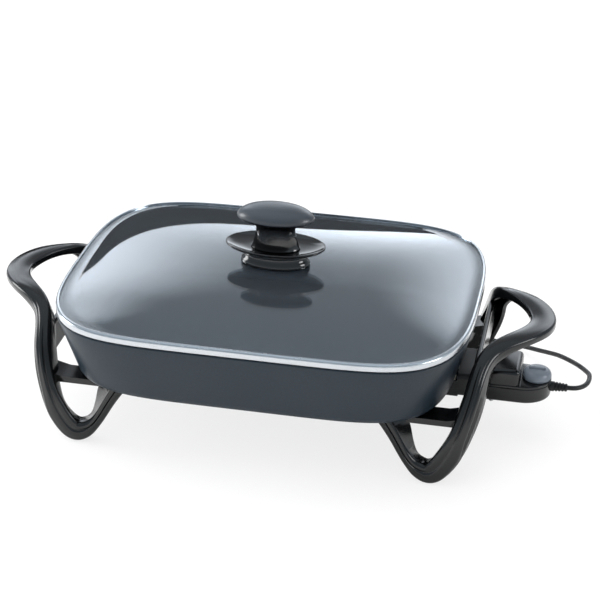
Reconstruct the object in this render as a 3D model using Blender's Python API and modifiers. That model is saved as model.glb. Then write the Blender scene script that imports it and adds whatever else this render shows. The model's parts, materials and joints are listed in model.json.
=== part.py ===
"""Electric skillet: a rounded oblong pan on two leg-and-handle mouldings, with a
lift-off glass lid and a plug-in heat control on its cord.

The origin is on the floor under the middle of the pan. +X points to the end that
carries the heat control, -Y to the front and +Z up.
"""
import math

import bmesh
import bpy
from mathutils import Matrix, Vector

MM = 0.001

# Driving dimensions
PAN_LENGTH = 406 * MM        # over the rim
PAN_WIDTH = 309.7 * MM       # over the rim
PAN_DEPTH = 69.4 * MM        # rim to underside
LEG_HEIGHT = 65 * MM         # floor to the pan's underside
HANDLE_SPAN = 554 * MM       # tip to tip
HANDLE_HEIGHT = 124 * MM     # middle of the carry handles above the floor
LID_RISE = 23 * MM           # rim to the top of the glass
KNOB_RISE = 62.5 * MM        # glass to the top of the knob
CORD_DIAMETER = 4.8 * MM

# Clearances
FIT = 0.3 * MM               # between pieces that rest on or in each other
SHY = 0.1 * MM               # keeps two cut faces out of one plane
OVERRUN = 4 * MM             # how far a cutter passes the face that it cuts

# Pan
SIDE_BOW_POWER = 3.27        # how square the long sides are
END_BOW_POWER = 5.51         # how square the short ends are
PLAN_COUNT = 56
LIP_EASE = 0.6 * MM
WALL_DRAW = 16 * MM          # how far the wall leans in by its foot
WALL = 4 * MM
BASE = 6 * MM
FOOT_RADIUS = 14 * MM
FOOT_ARC_START = 15          # degrees
FOOT_ARC_STEP = 25

# Lid
GLASS = 4 * MM
BAND_HEIGHT = 8.3 * MM
BAND_DEPTH = 7 * MM          # how far the band laps over the glass
BAND_WALL = 1.4 * MM
BAND_EASE = 0.8 * MM
GLASS_HOLE = 4.6 * MM        # radius
DOME_POWER = 2.6
BRIM_SHARE = 0.955           # where the dome ends and the flat edge in the band starts
DOME_SHARES = (0.0, 0.24, 0.48, 0.68, 0.84, BRIM_SHARE, 1.0)

# Knob
KNOB_COUNT = 32
KNOB_BORE = 3.2 * MM
KNOB_SCREW = 2.6 * MM        # shank radius
BASE_LONG = 35 * MM          # half sizes along X
BASE_DEEP = 20 * MM          # half sizes along Y
BASE_RISE = 14 * MM
GUARD_LONG = 50 * MM
GUARD_DEEP = 28 * MM
GUARD_RISE = 7 * MM
GUARD_WALL = 2.6 * MM
GRIP_LONG = 38 * MM
GRIP_DEEP = 22 * MM
NECK_LONG = 19 * MM
NECK_DEEP = 12 * MM
GRIP_CROWN = 12.5 * MM
NECK_TOP_DROP = 12 * MM
SCREW_HEAD = 6 * MM
SCREW_HEAD_HEIGHT = 3 * MM
SEAL_RADIUS = 9 * MM
SEAL_THICKNESS = 1.5 * MM

# Leg-and-handle moulding
FOOT_INSET = 28 * MM         # from the rim's end in to the middle of a foot
KNEE_OUTSET = 11.5 * MM      # from the rim's end out to the moulding's middle, where the handle starts
FOOT_Y = 113.2 * MM
FOOT_HALF = 12.5 * MM        # half the moulding's breadth at the foot
LEG_HALF_DEPTH = 8.2 * MM     # half its depth there
TIP_HALF = 12.5 * MM         # half the carry handle's breadth at its tip
SIDE_WALL = 3.6 * MM
FACE_WALL = 4.2 * MM
EDGE_RADIUS = 4 * MM
SPAN_SAMPLES = 2
# Along the moulding from the tip to the inner end of the leg: x from the foot (0) over the
# knee (1) to the tip (2), y, z from the floor (0) over the pan's underside (1) to the handle (2),
# half breadth, half depth, how far its face has turned from up to front, how much of its breadth
# the outer side wall leans in by, and how much the inner one leans out by at its back.
RIBBON_SHARES = (
    (2.000, 0.000, 2.000, 0.99, 0.52, 0.00, 0.00, 0.00),
    (1.916, 0.155, 2.008, 0.97, 0.52, 0.00, 0.00, 0.00),
    (1.696, 0.309, 2.022, 0.87, 0.52, 0.05, 0.00, 0.00),
    (1.400, 0.442, 2.002, 0.76, 0.59, 0.17, 0.03, 0.00),
    (1.140, 0.552, 1.908, 0.72, 0.77, 0.39, 0.08, 0.00),
    (1.000, 0.671, 1.720, 0.74, 1.10, 0.67, 0.14, 0.00),
    (0.949, 0.795, 1.466, 0.82, 1.29, 0.87, 0.22, 0.00),
    (0.851, 0.905, 1.136, 0.89, 1.22, 0.98, 0.28, 0.00),
    (0.694, 0.981, 0.800, 0.91, 1.07, 1.00, 0.26, -0.08),
    (0.481, 1.001, 0.523, 0.98, 1.00, 1.00, 0.12, -0.20),
    (0.268, 1.004, 0.308, 0.98, 1.00, 1.00, 0.08, -0.15),
    (0.015, 1.000, 0.158, 0.95, 1.00, 1.00, 0.04, -0.08),
    (-0.266, 0.997, 0.209, 0.72, 0.99, 1.00, 0.02, 0.00),
    (-0.494, 0.992, 0.331, 0.50, 0.98, 1.00, 0.00, 0.12),
    (-0.716, 0.984, 0.531, 0.45, 0.95, 1.00, 0.00, 0.50),
    (-0.922, 0.981, 0.777, 0.48, 0.95, 1.00, 0.00, 0.90),
    (-1.311, 0.981, 1.136, 0.56, 0.95, 1.00, 0.00, 0.90),
)
SHELF_THICKNESS = 6.2 * MM
SHELF_INSET = 85 * MM        # from the rim's end in to the shelf's inner end
SHELF_OUTSET = 8 * MM        # from the rim's end out to where it runs into the leg
SHELF_LIFT = 10 * MM         # how far it rises to meet the leg
SHELF_BACK = 82 * MM         # y of its edges
SHELF_FRONT = 106 * MM
APRON_OUTSET = 2.6 * MM      # from the rim's end out to the apron
APRON_THICKNESS = 5.4 * MM
APRON_HALF = 96 * MM
APRON_TOP_RISE = 40 * MM     # above the pan's underside
APRON_FOOT_RISE = 9 * MM
APRON_EDGE = 1.5 * MM
PAN_ROOM = 30 * MM           # height kept clear of the leg's inner end, for the pan

# Fasteners
SCREW_X = 150 * MM
SCREW_Y = 93 * MM
SCREW_RADIUS = 2 * MM
SCREW_CAP = 4.2 * MM
SCREW_CAP_HEIGHT = 2.6 * MM
SCREW_BITE = 4 * MM          # how far a screw reaches into the pan
SCREW_HOLE = 2.4 * MM
WASHER_RADIUS = 5.4 * MM
WASHER_THICKNESS = 1 * MM
SLOT_WIDTH = 0.9 * MM
SLOT_DEPTH = 0.9 * MM
SCREW_SIDES = 12

# Heating element and terminals
ELEMENT_RADIUS = 4 * MM
ELEMENT_BEND = 20 * MM
ELEMENT_FAR = 140 * MM
ELEMENT_NEAR = 146 * MM
ELEMENT_HALF_WIDTH = 56 * MM
TERMINAL_SPACING = 38 * MM
ELEMENT_END = 180 * MM
BEAD_LENGTH = 5 * MM
BEAD_BORE = 2.8 * MM
PIN_RADIUS = 2.5 * MM
PIN_END = 206 * MM
SOCKET_START = 108 * MM
SOCKET_MOUTH = 186.4 * MM
SOCKET_BORE = 3.3 * MM
SOCKET_END_WALL = 1.2 * MM
PROBE_RADIUS = 3 * MM
PROBE_TIP = 110 * MM

# Terminal guard
SHEET = 1.2 * MM
GUARD_START = 187.6 * MM
GUARD_END = 213.4 * MM
GUARD_HALF_WIDTH = 29.5 * MM
GUARD_BELOW = 13.4 * MM       # reach of the shroud under and over the pins
GUARD_ABOVE = 10.4 * MM
GUARD_CORNER = 4 * MM
STRAP_START = 150 * MM
STRAP_INNER = 6 * MM         # y of each strap's edges
STRAP_OUTER = 14 * MM
GUARD_SCREW_X = 158 * MM
TRAY_START = 175 * MM        # x where the shroud's lower half starts, under the pan

# Heat control
CONTROL_END = 277 * MM
CONTROL_HALF_WIDTH = 24 * MM
CONTROL_SQUARE = 249 * MM    # x where its sides start to round in
CONTROL_DROP = 17.7 * MM     # heights below and above the pins' middle
PART_LINE_DROP = 1.7 * MM
DECK_RISE = 1.3 * MM
CONTROL_ARC_STEPS = 9
BELLY_RADIUS = 4 * MM
BLOCK_END = 247.6 * MM
BLOCK_RISE = 17.3 * MM
BLOCK_INSET = 0.8 * MM
BLOCK_ROUND = 5 * MM
POCKET_START = 218 * MM
POCKET_END = 266 * MM
POCKET_HALF_WIDTH = 13 * MM
POCKET_DROP = 13.7 * MM
COVER_POCKET_END = 243.6 * MM
COVER_POCKET_RISE = 13.3 * MM
NOSE_START = 190 * MM
NOSE_HALF_WIDTH = 27 * MM
NOSE_BELOW = 11 * MM
NOSE_ABOVE = 7.6 * MM
NOSE_EDGE = 1.2 * MM
NOSE_ROOT = 6 * MM
CONTACT_OUTER = 3.8 * MM
CONTACT_INNER = 2.8 * MM
CONTACT_START = 192 * MM
SWITCH_START = 224.6 * MM
SWITCH_END = 242.6 * MM
SWITCH_EDGE = 1 * MM
DIAL_X = 262.6 * MM
DIAL_RADIUS = 14.2 * MM
DIAL_HEIGHT = 9.5 * MM
DIAL_EDGE = 2.4 * MM
DIAL_BORE_DEPTH = 5 * MM
DIAL_RIB_LENGTH = 17 * MM
DIAL_RIB_WIDTH = 3 * MM
DIAL_RIB_RISE = 1.6 * MM
SHAFT_RADIUS = 3 * MM
SHAFT_FIT = 0.4 * MM
LENS_X = 226 * MM
LENS_Y = 12 * MM
LENS_RADIUS = 3 * MM
LENS_RISE = 1 * MM
LENS_ROOT = 2.5 * MM
CASE_SCREW_X = 221 * MM
CASE_SCREW_Y = 18.5 * MM
CASE_SCREW_RADIUS = 1.5 * MM
CASE_SCREW_CAP = 2.8 * MM
CASE_SCREW_CAP_HEIGHT = 1.6 * MM
CASE_SCREW_REACH = 17 * MM

# Cord
EXIT_DROP = 7.2 * MM          # where it leaves the control, below the pins' middle
ROUTE_EXIT_Z = 53.5 * MM     # the height that its route is written for
RELIEF_START = 267.2 * MM
RELIEF_END = 293 * MM
RELIEF_ROOT = 4.9 * MM
RELIEF_NECK = 3.6 * MM
RELIEF_RIBS = 4
RELIEF_GROOVE = 0.7 * MM
COIL_X = 125.4 * MM
COIL_Y = 163.1 * MM
COIL_OUTER = 31 * MM         # radius at the middle of the outermost turn
COIL_TURNS = 4.1
COIL_PITCH = 5.4 * MM        # between turns and between layers
COIL_COUNT = 24
COIL_START = 64              # degrees
TIE_WALL = 0.8 * MM
TIE_WIDTH = 9 * MM
TIE_ANGLE = -60              # degrees round the coil
# The lead's free way, point by point, from the strain relief round to the coil.
CORD_ROUTE_MM = (
    (293.3, 0.0, 53.5), (297.4, 0.2, 53.5), (301.8, 1.7, 53.3), (305.9, 4.9, 53.0), (309.3, 9.9, 52.4),
    (311.7, 16.8, 51.6), (312.8, 25.0, 50.6), (312.8, 33.5, 49.4), (311.5, 42.0, 47.9), (305.2, 57.7, 44.0),
    (298.7, 70.8, 40.5), (288.9, 88.6, 35.0), (277.7, 108.1, 28.0), (267.9, 122.8, 21.5), (256.5, 138.0, 14.6),
    (242.5, 152.6, 8.6), (224.5, 163.8, 4.3), (206.0, 169.6, 2.8), (188.0, 173.4, 2.7), (171.0, 178.0, 2.8),
    (156.5, 183.4, 3.4),
)
# The short way from the coil to the plug.
TAIL_ROUTE_MM = (
    (106.4, 190.7, 9.0), (93.4, 186.3, 6.4), (81.4, 180.5, 4.2), (70.4, 174.1, 4.2), (60.9, 168.3, 6.0),
)
STRETCH_COUNT = 4
PLUG_X = 49.4 * MM
PLUG_Y = 161.7 * MM
PLUG_TURN = 211              # degrees, the way the blades point
PLUG_LENGTH = 30 * MM
PLUG_HALF_WIDTH = 12.5 * MM
PLUG_HALF_HEIGHT = 7.5 * MM
PLUG_NECK = 4.2 * MM
BLADE_SPACING = 12.7 * MM
BLADE_WIDTH = 6.3 * MM
BLADE_THICKNESS = 1.5 * MM
BLADE_LENGTH = 17 * MM
BLADE_ROOT = 5 * MM

# Sizes that follow
RIM_Z = LEG_HEIGHT + PAN_DEPTH
HALF_LENGTH = PAN_LENGTH / 2
HALF_WIDTH = PAN_WIDTH / 2
FOOT_X = HALF_LENGTH - FOOT_INSET
KNEE_X = HALF_LENGTH + KNEE_OUTSET
TIP_X = HANDLE_SPAN / 2 - TIP_HALF
SHELF_INNER = HALF_LENGTH - SHELF_INSET
SHELF_OUTER = HALF_LENGTH + SHELF_OUTSET
APRON_X = HALF_LENGTH + APRON_OUTSET
APRON_TOP = LEG_HEIGHT + APRON_TOP_RISE
APRON_FOOT = LEG_HEIGHT + APRON_FOOT_RISE
PIN_Z = LEG_HEIGHT - FIT - ELEMENT_RADIUS
CONTROL_START = GUARD_END + 2 * FIT
CONTROL_FLOOR = PIN_Z - CONTROL_DROP
CONTROL_PART_LINE = PIN_Z - PART_LINE_DROP
CONTROL_DECK = PIN_Z + DECK_RISE
BLOCK_TOP = PIN_Z + BLOCK_RISE
POCKET_FLOOR = PIN_Z - POCKET_DROP
COVER_POCKET_TOP = PIN_Z + COVER_POCKET_RISE
CORD_Z = PIN_Z - EXIT_DROP
GLASS_TOP = RIM_Z + FIT + LID_RISE
KNOB_FOOT = GLASS_TOP + FIT
GUARD_FOOT = KNOB_FOOT + BASE_RISE
KNOB_TOP = GLASS_TOP + KNOB_RISE
SHELF_TOP = LEG_HEIGHT - FIT
WASHER_TOP = SHELF_TOP - SHELF_THICKNESS - FIT
CORD_RADIUS = CORD_DIAMETER / 2
COIL_Z = TIE_WALL + 2 * FIT + CORD_RADIUS


for old in list(bpy.data.objects):
    bpy.data.objects.remove(old, do_unlink=True)

model = bpy.data.collections.new("electric_skillet")
cutters = bpy.data.collections.new("cutters")
bpy.context.scene.collection.children.link(model)
bpy.context.scene.collection.children.link(cutters)


def finish(name, colour, roughness, metallic=0.0):
    """A plain Principled material with the part's own colour."""
    material = bpy.data.materials.new(name)
    material.use_nodes = True
    shader = material.node_tree.nodes["Principled BSDF"]
    shader.inputs["Base Color"].default_value = (*colour, 1.0)
    shader.inputs["Roughness"].default_value = roughness
    shader.inputs["Metallic"].default_value = metallic
    material.diffuse_color = (*colour, 1.0)
    return material


COAT = finish("non_stick_coat", (0.045, 0.052, 0.065), 0.45, 0.3)
PHENOLIC = finish("black_phenolic", (0.012, 0.013, 0.014), 0.3)
GLOSS_BLACK = finish("gloss_black_knob", (0.008, 0.008, 0.009), 0.12)
STEEL = finish("polished_steel", (0.78, 0.79, 0.8), 0.12, 1.0)
SHEET_STEEL = finish("plated_sheet_steel", (0.62, 0.63, 0.64), 0.35, 1.0)
GLAZING = finish("tempered_glass", (0.62, 0.68, 0.72), 0.03)
BLACK_STEEL = finish("black_sheet_steel", (0.015, 0.015, 0.016), 0.45)
SHEATH = finish("element_sheath", (0.3, 0.31, 0.32), 0.5, 0.9)
CERAMIC = finish("white_ceramic", (0.85, 0.84, 0.8), 0.5)
BRASS = finish("brass_contact", (0.72, 0.52, 0.2), 0.3, 1.0)
RUBBER = finish("black_rubber", (0.02, 0.02, 0.02), 0.65)
LENS_RED = finish("red_lens", (0.5, 0.03, 0.02), 0.15)
DIAL_BLACK = finish("dial_black", (0.03, 0.032, 0.036), 0.3)


def keep(obj, material):
    """Puts a piece in the model with its material and smooth round sides."""
    obj.data.materials.append(material)
    if obj.type == "MESH":
        obj.data.shade_smooth()
        obj.data.set_sharp_from_angle(angle=math.radians(35))
    model.objects.link(obj)
    return obj


def tool(obj):
    """Puts a cutting or joining shape with the cutters."""
    obj.hide_render = True
    obj.display_type = "WIRE"
    cutters.objects.link(obj)
    return obj


def combine(obj, shape, operation):
    """Cuts a tool shape out of a piece, or joins it on."""
    boolean = obj.modifiers.new(operation.lower(), "BOOLEAN")
    boolean.operation = operation
    boolean.solver = "EXACT"
    boolean.object = shape


def oval(half_x, half_y, z, count, power_x=2.0, power_y=2.0):
    """Points round an oval whose ends and sides are as square as its powers."""
    points = []
    for k in range(count):
        turn = math.tau * k / count
        c, s = math.cos(turn), math.sin(turn)
        x = math.copysign(half_x * abs(c) ** (2 / power_x), c)
        y = math.copysign(half_y * abs(s) ** (2 / power_y), s)
        points.append(Vector((x, y, z)))
    return points


def pan_outline(inset, z):
    return oval(HALF_LENGTH - inset, HALF_WIDTH - inset, z, PLAN_COUNT, END_BOW_POWER, SIDE_BOW_POWER)


def loft(name, rings, ring_loop=False):
    """A closed skin over rings of points; its ends are capped, or meet in a loop."""
    shell = bmesh.new()
    rows = [[shell.verts.new(point) for point in ring] for ring in rings]
    pairs = list(zip(rows, rows[1:]))
    if ring_loop:
        pairs.append((rows[-1], rows[0]))
    else:
        shell.faces.new(rows[0])
        shell.faces.new(rows[-1])
    for low, high in pairs:
        for k in range(len(low)):
            after = (k + 1) % len(low)
            shell.faces.new((low[k], low[after], high[after], high[k]))
    bmesh.ops.recalc_face_normals(shell, faces=shell.faces)
    mesh = bpy.data.meshes.new(name)
    shell.to_mesh(mesh)
    shell.free()
    return bpy.data.objects.new(name, mesh)


def block(name, low, high, edge=0.0):
    """A box between two corners, with eased edges."""
    low, high = Vector(low), Vector(high)
    shell = bmesh.new()
    bmesh.ops.create_cube(shell, size=1.0)
    bmesh.ops.scale(shell, vec=high - low, verts=shell.verts)
    mesh = bpy.data.meshes.new(name)
    shell.to_mesh(mesh)
    shell.free()
    obj = bpy.data.objects.new(name, mesh)
    obj.location = (low + high) / 2
    if edge:
        bevel = obj.modifiers.new("edges", "BEVEL")
        bevel.width = edge
        bevel.segments = 2
        bevel.limit_method = "ANGLE"
    return obj


def rod(name, radius, start, end, sides=SCREW_SIDES):
    """A round bar between two points."""
    start, end = Vector(start), Vector(end)
    shell = bmesh.new()
    length = (end - start).length
    bmesh.ops.create_cone(shell, cap_ends=True, segments=sides, radius1=radius, radius2=radius, depth=length)
    mesh = bpy.data.meshes.new(name)
    shell.to_mesh(mesh)
    shell.free()
    obj = bpy.data.objects.new(name, mesh)
    obj.rotation_euler = (end - start).to_track_quat("Z", "Y").to_euler()
    obj.location = (start + end) / 2
    return obj


def turned(name, profile, base, along="Z", steps=SCREW_SIDES, ring=False):
    """A profile of (radius, height) points, from the top down its outer side, spun round its axis."""
    mesh = bpy.data.meshes.new(name)
    count = len(profile)
    edges = [(k, k + 1) for k in range(count - 1)]
    if ring:
        edges.append((count - 1, 0))
    mesh.from_pydata([(radius, 0.0, height) for radius, height in profile], edges, [])
    obj = bpy.data.objects.new(name, mesh)
    screw = obj.modifiers.new("turn", "SCREW")
    screw.angle = math.tau
    screw.steps = steps
    screw.render_steps = steps
    screw.use_merge_vertices = True
    screw.merge_threshold = 0.00001
    obj.location = base
    if along == "X":
        obj.rotation_euler = (0.0, math.pi / 2, 0.0)
    return obj


def tube(name, points, radius, resolution):
    """A round wire along a line of points."""
    curve = bpy.data.curves.new(name, "CURVE")
    curve.dimensions = "3D"
    curve.bevel_depth = radius
    curve.bevel_resolution = resolution
    curve.use_fill_caps = True
    spline = curve.splines.new("POLY")
    spline.points.add(len(points) - 1)
    for spot, point in zip(spline.points, points):
        spot.co = (*point, 1.0)
    return bpy.data.objects.new(name, curve)


def smooth_way(rows, samples):
    """Values along a smooth curve through the rows, with equal steps between them."""
    before = [[2 * a - b for a, b in zip(rows[0], rows[1])], *rows[:-1]]
    after = [*rows[1:], [2 * a - b for a, b in zip(rows[-1], rows[-2])]]
    way = []
    for k in range(len(rows) - 1):
        for step in range(samples):
            t = step / samples
            way.append([
                here * (2 * t**3 - 3 * t**2 + 1)
                + (there - last) / 2 * (t**3 - 2 * t**2 + t)
                + there * (3 * t**2 - 2 * t**3)
                + (following - here) / 2 * (t**3 - t**2)
                for last, here, there, following in zip(before[k], rows[k], rows[k + 1], after[k + 1])
            ])
    way.append(list(rows[-1]))
    return way


def foot_arc(inset, floor, radius):
    """The round from the wall down to the base, as (inset, height) pairs."""
    turns = range(FOOT_ARC_START, 91, FOOT_ARC_STEP)
    return [
        (
            inset + radius * (math.cos(math.radians(FOOT_ARC_START)) - math.cos(math.radians(turn))),
            floor + radius * (1 - math.sin(math.radians(turn))),
        )
        for turn in turns
    ]


def make_pan():
    outer = [(LIP_EASE, RIM_Z), (0.0, RIM_Z - LIP_EASE)]
    outer += foot_arc(WALL_DRAW, LEG_HEIGHT, FOOT_RADIUS)
    inner_floor = LEG_HEIGHT + BASE
    inner = [(WALL, RIM_Z)]
    inner += foot_arc(WALL_DRAW + WALL, inner_floor, FOOT_RADIUS)
    section = list(reversed(inner)) + outer
    pan = keep(loft("pan", [pan_outline(inset, z) for inset, z in section]), COAT)
    spots = [(side * SCREW_X, way * SCREW_Y) for side in (-1, 1) for way in (-1, 1)]
    spots += [(GUARD_SCREW_X, way * (STRAP_INNER + STRAP_OUTER) / 2) for way in (-1, 1)]
    for k, (x, y) in enumerate(spots):
        low = Vector((x, y, LEG_HEIGHT - OVERRUN))
        high = Vector((x, y, LEG_HEIGHT + SCREW_BITE + FIT))
        combine(pan, tool(rod(f"pan_hole_{k}", SCREW_HOLE, low, high)), "DIFFERENCE")
    return pan


def screw(name, x, y, seat, radius, cap, cap_height, reach):
    """A slotted screw, head down, whose head seats at a height."""
    profile = [
        (0.0, reach), (radius, reach), (radius, 0.0), (cap, 0.0),
        (cap, -cap_height / 2), (cap * 3 / 4, -cap_height), (0.0, -cap_height),
    ]
    obj = turned(name, profile, (x, y, seat))
    slot = block(
        f"{name}_slot",
        (x - 2 * cap, y - SLOT_WIDTH / 2, seat - cap_height - OVERRUN),
        (x + 2 * cap, y + SLOT_WIDTH / 2, seat - cap_height + SLOT_DEPTH),
    )
    combine(obj, tool(slot), "DIFFERENCE")
    return keep(obj, SHEET_STEEL)


def washer(name, x, y, top, outer, inner, thickness, material):
    profile = [(inner, top), (outer, top), (outer, top - thickness), (inner, top - thickness)]
    return keep(turned(name, profile, (x, y, 0.0), ring=True), material)


def between(share, low, middle, high):
    """The value for a share that runs from 0 at low over 1 at the middle to 2 at high."""
    if share > 1:
        return middle + (share - 1) * (high - middle)
    return low + share * (middle - low)


def ribbon_sections(side):
    """Rings of points along the moulding, from the rear leg over the handle to the front leg."""
    stations = []
    for x, y, z, across, deep, turn, *leans in smooth_way(RIBBON_SHARES, SPAN_SAMPLES):
        centre = Vector((between(x, FOOT_X, KNEE_X, TIP_X), -y * FOOT_Y, between(z, 0.0, LEG_HEIGHT, HANDLE_HEIGHT)))
        stations.append((centre, across * FOOT_HALF, deep * LEG_HALF_DEPTH, turn, leans))
    half = []
    for k, (centre, across, deep, turn, leans) in enumerate(stations):
        ahead = stations[min(k + 1, len(stations) - 1)][0]
        behind = stations[max(k - 1, 0)][0]
        way = (ahead - behind).normalized() if k else Vector((0.0, -1.0, 0.0))
        face = Vector((0.0, -math.sin(turn * math.pi / 2), math.cos(turn * math.pi / 2)))
        face = (face - way * face.dot(way)).normalized()
        half.append((centre, face.cross(way), face, across, deep, leans))
    flip = Matrix.Diagonal((1.0, -1.0, 1.0))
    rear = [(flip @ c, flip @ o, flip @ f, *rest) for c, o, f, *rest in reversed(half[1:])]
    mirror = Matrix.Diagonal((side, 1.0, 1.0))
    rings = []
    for centre, outward, face, across, deep, (lean, flare) in rear + half:
        radius = min(EDGE_RADIUS, deep * 2 / 3)
        ease = radius * (1 - math.sqrt(0.5))
        draw, spread = 2 * across * lean, 2 * across * flare
        floor = deep - min(FACE_WALL, deep)
        section = [
            (-across - spread, -deep), (-across, deep - radius), (-across + ease, deep - ease), (-across + radius, deep),
            (across - draw - radius, deep), (across - draw - ease / 2, deep - ease),
            (across - draw / 2, deep - radius - (deep - radius / 2) * lean), (across, -deep),
            (across - SIDE_WALL, -deep), (across - draw - SIDE_WALL, floor),
            (-across + SIDE_WALL, floor), (-across - spread + SIDE_WALL, -deep),
        ]
        rings.append([mirror @ (centre + outward * u + face * v) for u, v in section])
    return rings


def span(side, near, far):
    """The lower and upper x of a stretch on the left (-1) or right (1) end."""
    return sorted((side * near, side * far))


def make_leg_handle(side):
    end = "right" if side > 0 else "left"
    frame = loft(f"leg_handle_{end}", ribbon_sections(side))
    for way in (-1, 1):
        spot = "rear" if way > 0 else "front"
        y_low, y_high = sorted((way * SHELF_BACK, way * SHELF_FRONT))
        foot = SHELF_TOP - SHELF_THICKNESS
        reach = SHELF_OUTER - SHELF_INNER
        outline = [
            (SHELF_INNER, foot), (SHELF_OUTER - reach / 5, foot), (SHELF_OUTER - reach / 12, foot + SHELF_LIFT / 3),
            (SHELF_OUTER, foot + SHELF_LIFT), (SHELF_OUTER, SHELF_TOP + SHELF_LIFT),
            (SHELF_OUTER - reach / 9, SHELF_TOP + SHELF_LIFT / 3), (SHELF_OUTER - reach / 4, SHELF_TOP),
            (SHELF_INNER, SHELF_TOP),
        ]
        rings = [[Vector((side * x, y, z)) for x, z in outline] for y in (y_low, y_high)]
        combine(frame, tool(loft(f"shelf_{end}_{spot}", rings)), "UNION")
        x_low, x_high = span(side, SHELF_INNER - FOOT_HALF, FOOT_X)
        y_low, y_high = sorted((way * SHELF_BACK / 2, way * (FOOT_Y + 2 * LEG_HALF_DEPTH)))
        room = block(
            f"pan_room_{end}_{spot}",
            (x_low - OVERRUN, y_low, SHELF_TOP + SHY), (x_high, y_high, LEG_HEIGHT + PAN_ROOM),
        )
        combine(frame, tool(room), "DIFFERENCE")
        x_low, x_high = span(side, FOOT_X - 2 * FOOT_HALF, FOOT_X + 2 * FOOT_HALF)
        y_low, y_high = sorted((way * (FOOT_Y - 2 * LEG_HALF_DEPTH), way * (FOOT_Y + 2 * LEG_HALF_DEPTH)))
        ground = block(f"ground_{end}_{spot}", (x_low, y_low, -2 * OVERRUN), (x_high, y_high, 0.0))
        combine(frame, tool(ground), "DIFFERENCE")
        hole = rod(
            f"frame_hole_{end}_{spot}", SCREW_HOLE,
            (side * SCREW_X, way * SCREW_Y, foot - OVERRUN), (side * SCREW_X, way * SCREW_Y, LEG_HEIGHT),
        )
        combine(frame, tool(hole), "DIFFERENCE")
        washer(
            f"frame_washer_{end}_{spot}", side * SCREW_X, way * SCREW_Y, WASHER_TOP,
            WASHER_RADIUS, SCREW_HOLE, WASHER_THICKNESS, SHEET_STEEL,
        )
        seat = WASHER_TOP - WASHER_THICKNESS - FIT
        screw(
            f"frame_screw_{end}_{spot}", side * SCREW_X, way * SCREW_Y, seat,
            SCREW_RADIUS, SCREW_CAP, SCREW_CAP_HEIGHT, LEG_HEIGHT + SCREW_BITE - seat,
        )
    x_low, x_high = span(side, APRON_X, APRON_X + APRON_THICKNESS)
    apron = block(f"apron_{end}", (x_low, -APRON_HALF, APRON_FOOT), (x_high, APRON_HALF, APRON_TOP), APRON_EDGE)
    combine(frame, tool(apron), "UNION")
    return keep(frame, PHENOLIC)


def filleted(corners, radius, steps):
    """A line of points through corners, each rounded to a radius."""
    corners = [Vector(corner) for corner in corners]
    way = [corners[0]]
    for before, corner, after in zip(corners, corners[1:], corners[2:]):
        to_before = (before - corner).normalized()
        to_after = (after - corner).normalized()
        centre = corner + (to_before + to_after) * radius
        for k in range(steps + 1):
            turn = math.pi / 2 * k / steps
            way.append(centre - to_after * radius * math.cos(turn) - to_before * radius * math.sin(turn))
    way.append(corners[-1])
    return way


def make_element():
    spread = TERMINAL_SPACING / 2
    corners = [
        (ELEMENT_END, spread, PIN_Z), (ELEMENT_NEAR, spread, PIN_Z), (ELEMENT_NEAR, ELEMENT_HALF_WIDTH, PIN_Z),
        (-ELEMENT_FAR, ELEMENT_HALF_WIDTH, PIN_Z), (-ELEMENT_FAR, -ELEMENT_HALF_WIDTH, PIN_Z),
        (ELEMENT_NEAR, -ELEMENT_HALF_WIDTH, PIN_Z), (ELEMENT_NEAR, -spread, PIN_Z), (ELEMENT_END, -spread, PIN_Z),
    ]
    bend = min(ELEMENT_BEND, (ELEMENT_HALF_WIDTH - spread) / 2 - SHY)
    keep(tube("heating_element", filleted(corners, bend, 4), ELEMENT_RADIUS, 2), SHEATH)
    for way, spot in ((-1, "front"), (1, "rear")):
        base = (ELEMENT_END + FIT, way * spread, PIN_Z)
        bead = [
            (BEAD_BORE, BEAD_LENGTH), (ELEMENT_RADIUS, BEAD_LENGTH), (ELEMENT_RADIUS, 0.0), (BEAD_BORE, 0.0),
        ]
        keep(turned(f"terminal_insulator_{spot}", bead, base, "X", ring=True), CERAMIC)
        reach = PIN_END - ELEMENT_END - FIT
        pin = [
            (0.0, reach), (PIN_RADIUS / 2, reach), (PIN_RADIUS, reach - PIN_RADIUS),
            (PIN_RADIUS, 0.0), (0.0, 0.0),
        ]
        keep(turned(f"terminal_pin_{spot}", pin, base, "X"), STEEL)
    reach = SOCKET_MOUTH - SOCKET_START
    profile = [
        (0.0, SOCKET_END_WALL), (SOCKET_BORE, SOCKET_END_WALL), (SOCKET_BORE, reach),
        (ELEMENT_RADIUS, reach), (ELEMENT_RADIUS, 0.0), (0.0, 0.0),
    ]
    keep(turned("probe_socket", profile, (SOCKET_START, 0.0, PIN_Z), "X"), SHEET_STEEL)


def shroud_ring(x, inset):
    """A rounded oblong across the pins, as seen along X."""
    half = GUARD_HALF_WIDTH - inset
    low, high = PIN_Z - GUARD_BELOW + inset, PIN_Z + GUARD_ABOVE - inset
    radius = GUARD_CORNER - inset
    corners = ((half, high), (-half, high), (-half, low), (half, low))
    points = []
    for k, (y, z) in enumerate(corners):
        middle_y = y - math.copysign(radius, y)
        middle_z = z - (radius if z == high else -radius)
        for step in range(3):
            turn = math.pi / 2 * (k + step / 2)
            points.append(Vector((x, middle_y + radius * math.cos(turn), middle_z + radius * math.sin(turn))))
    return points


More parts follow.
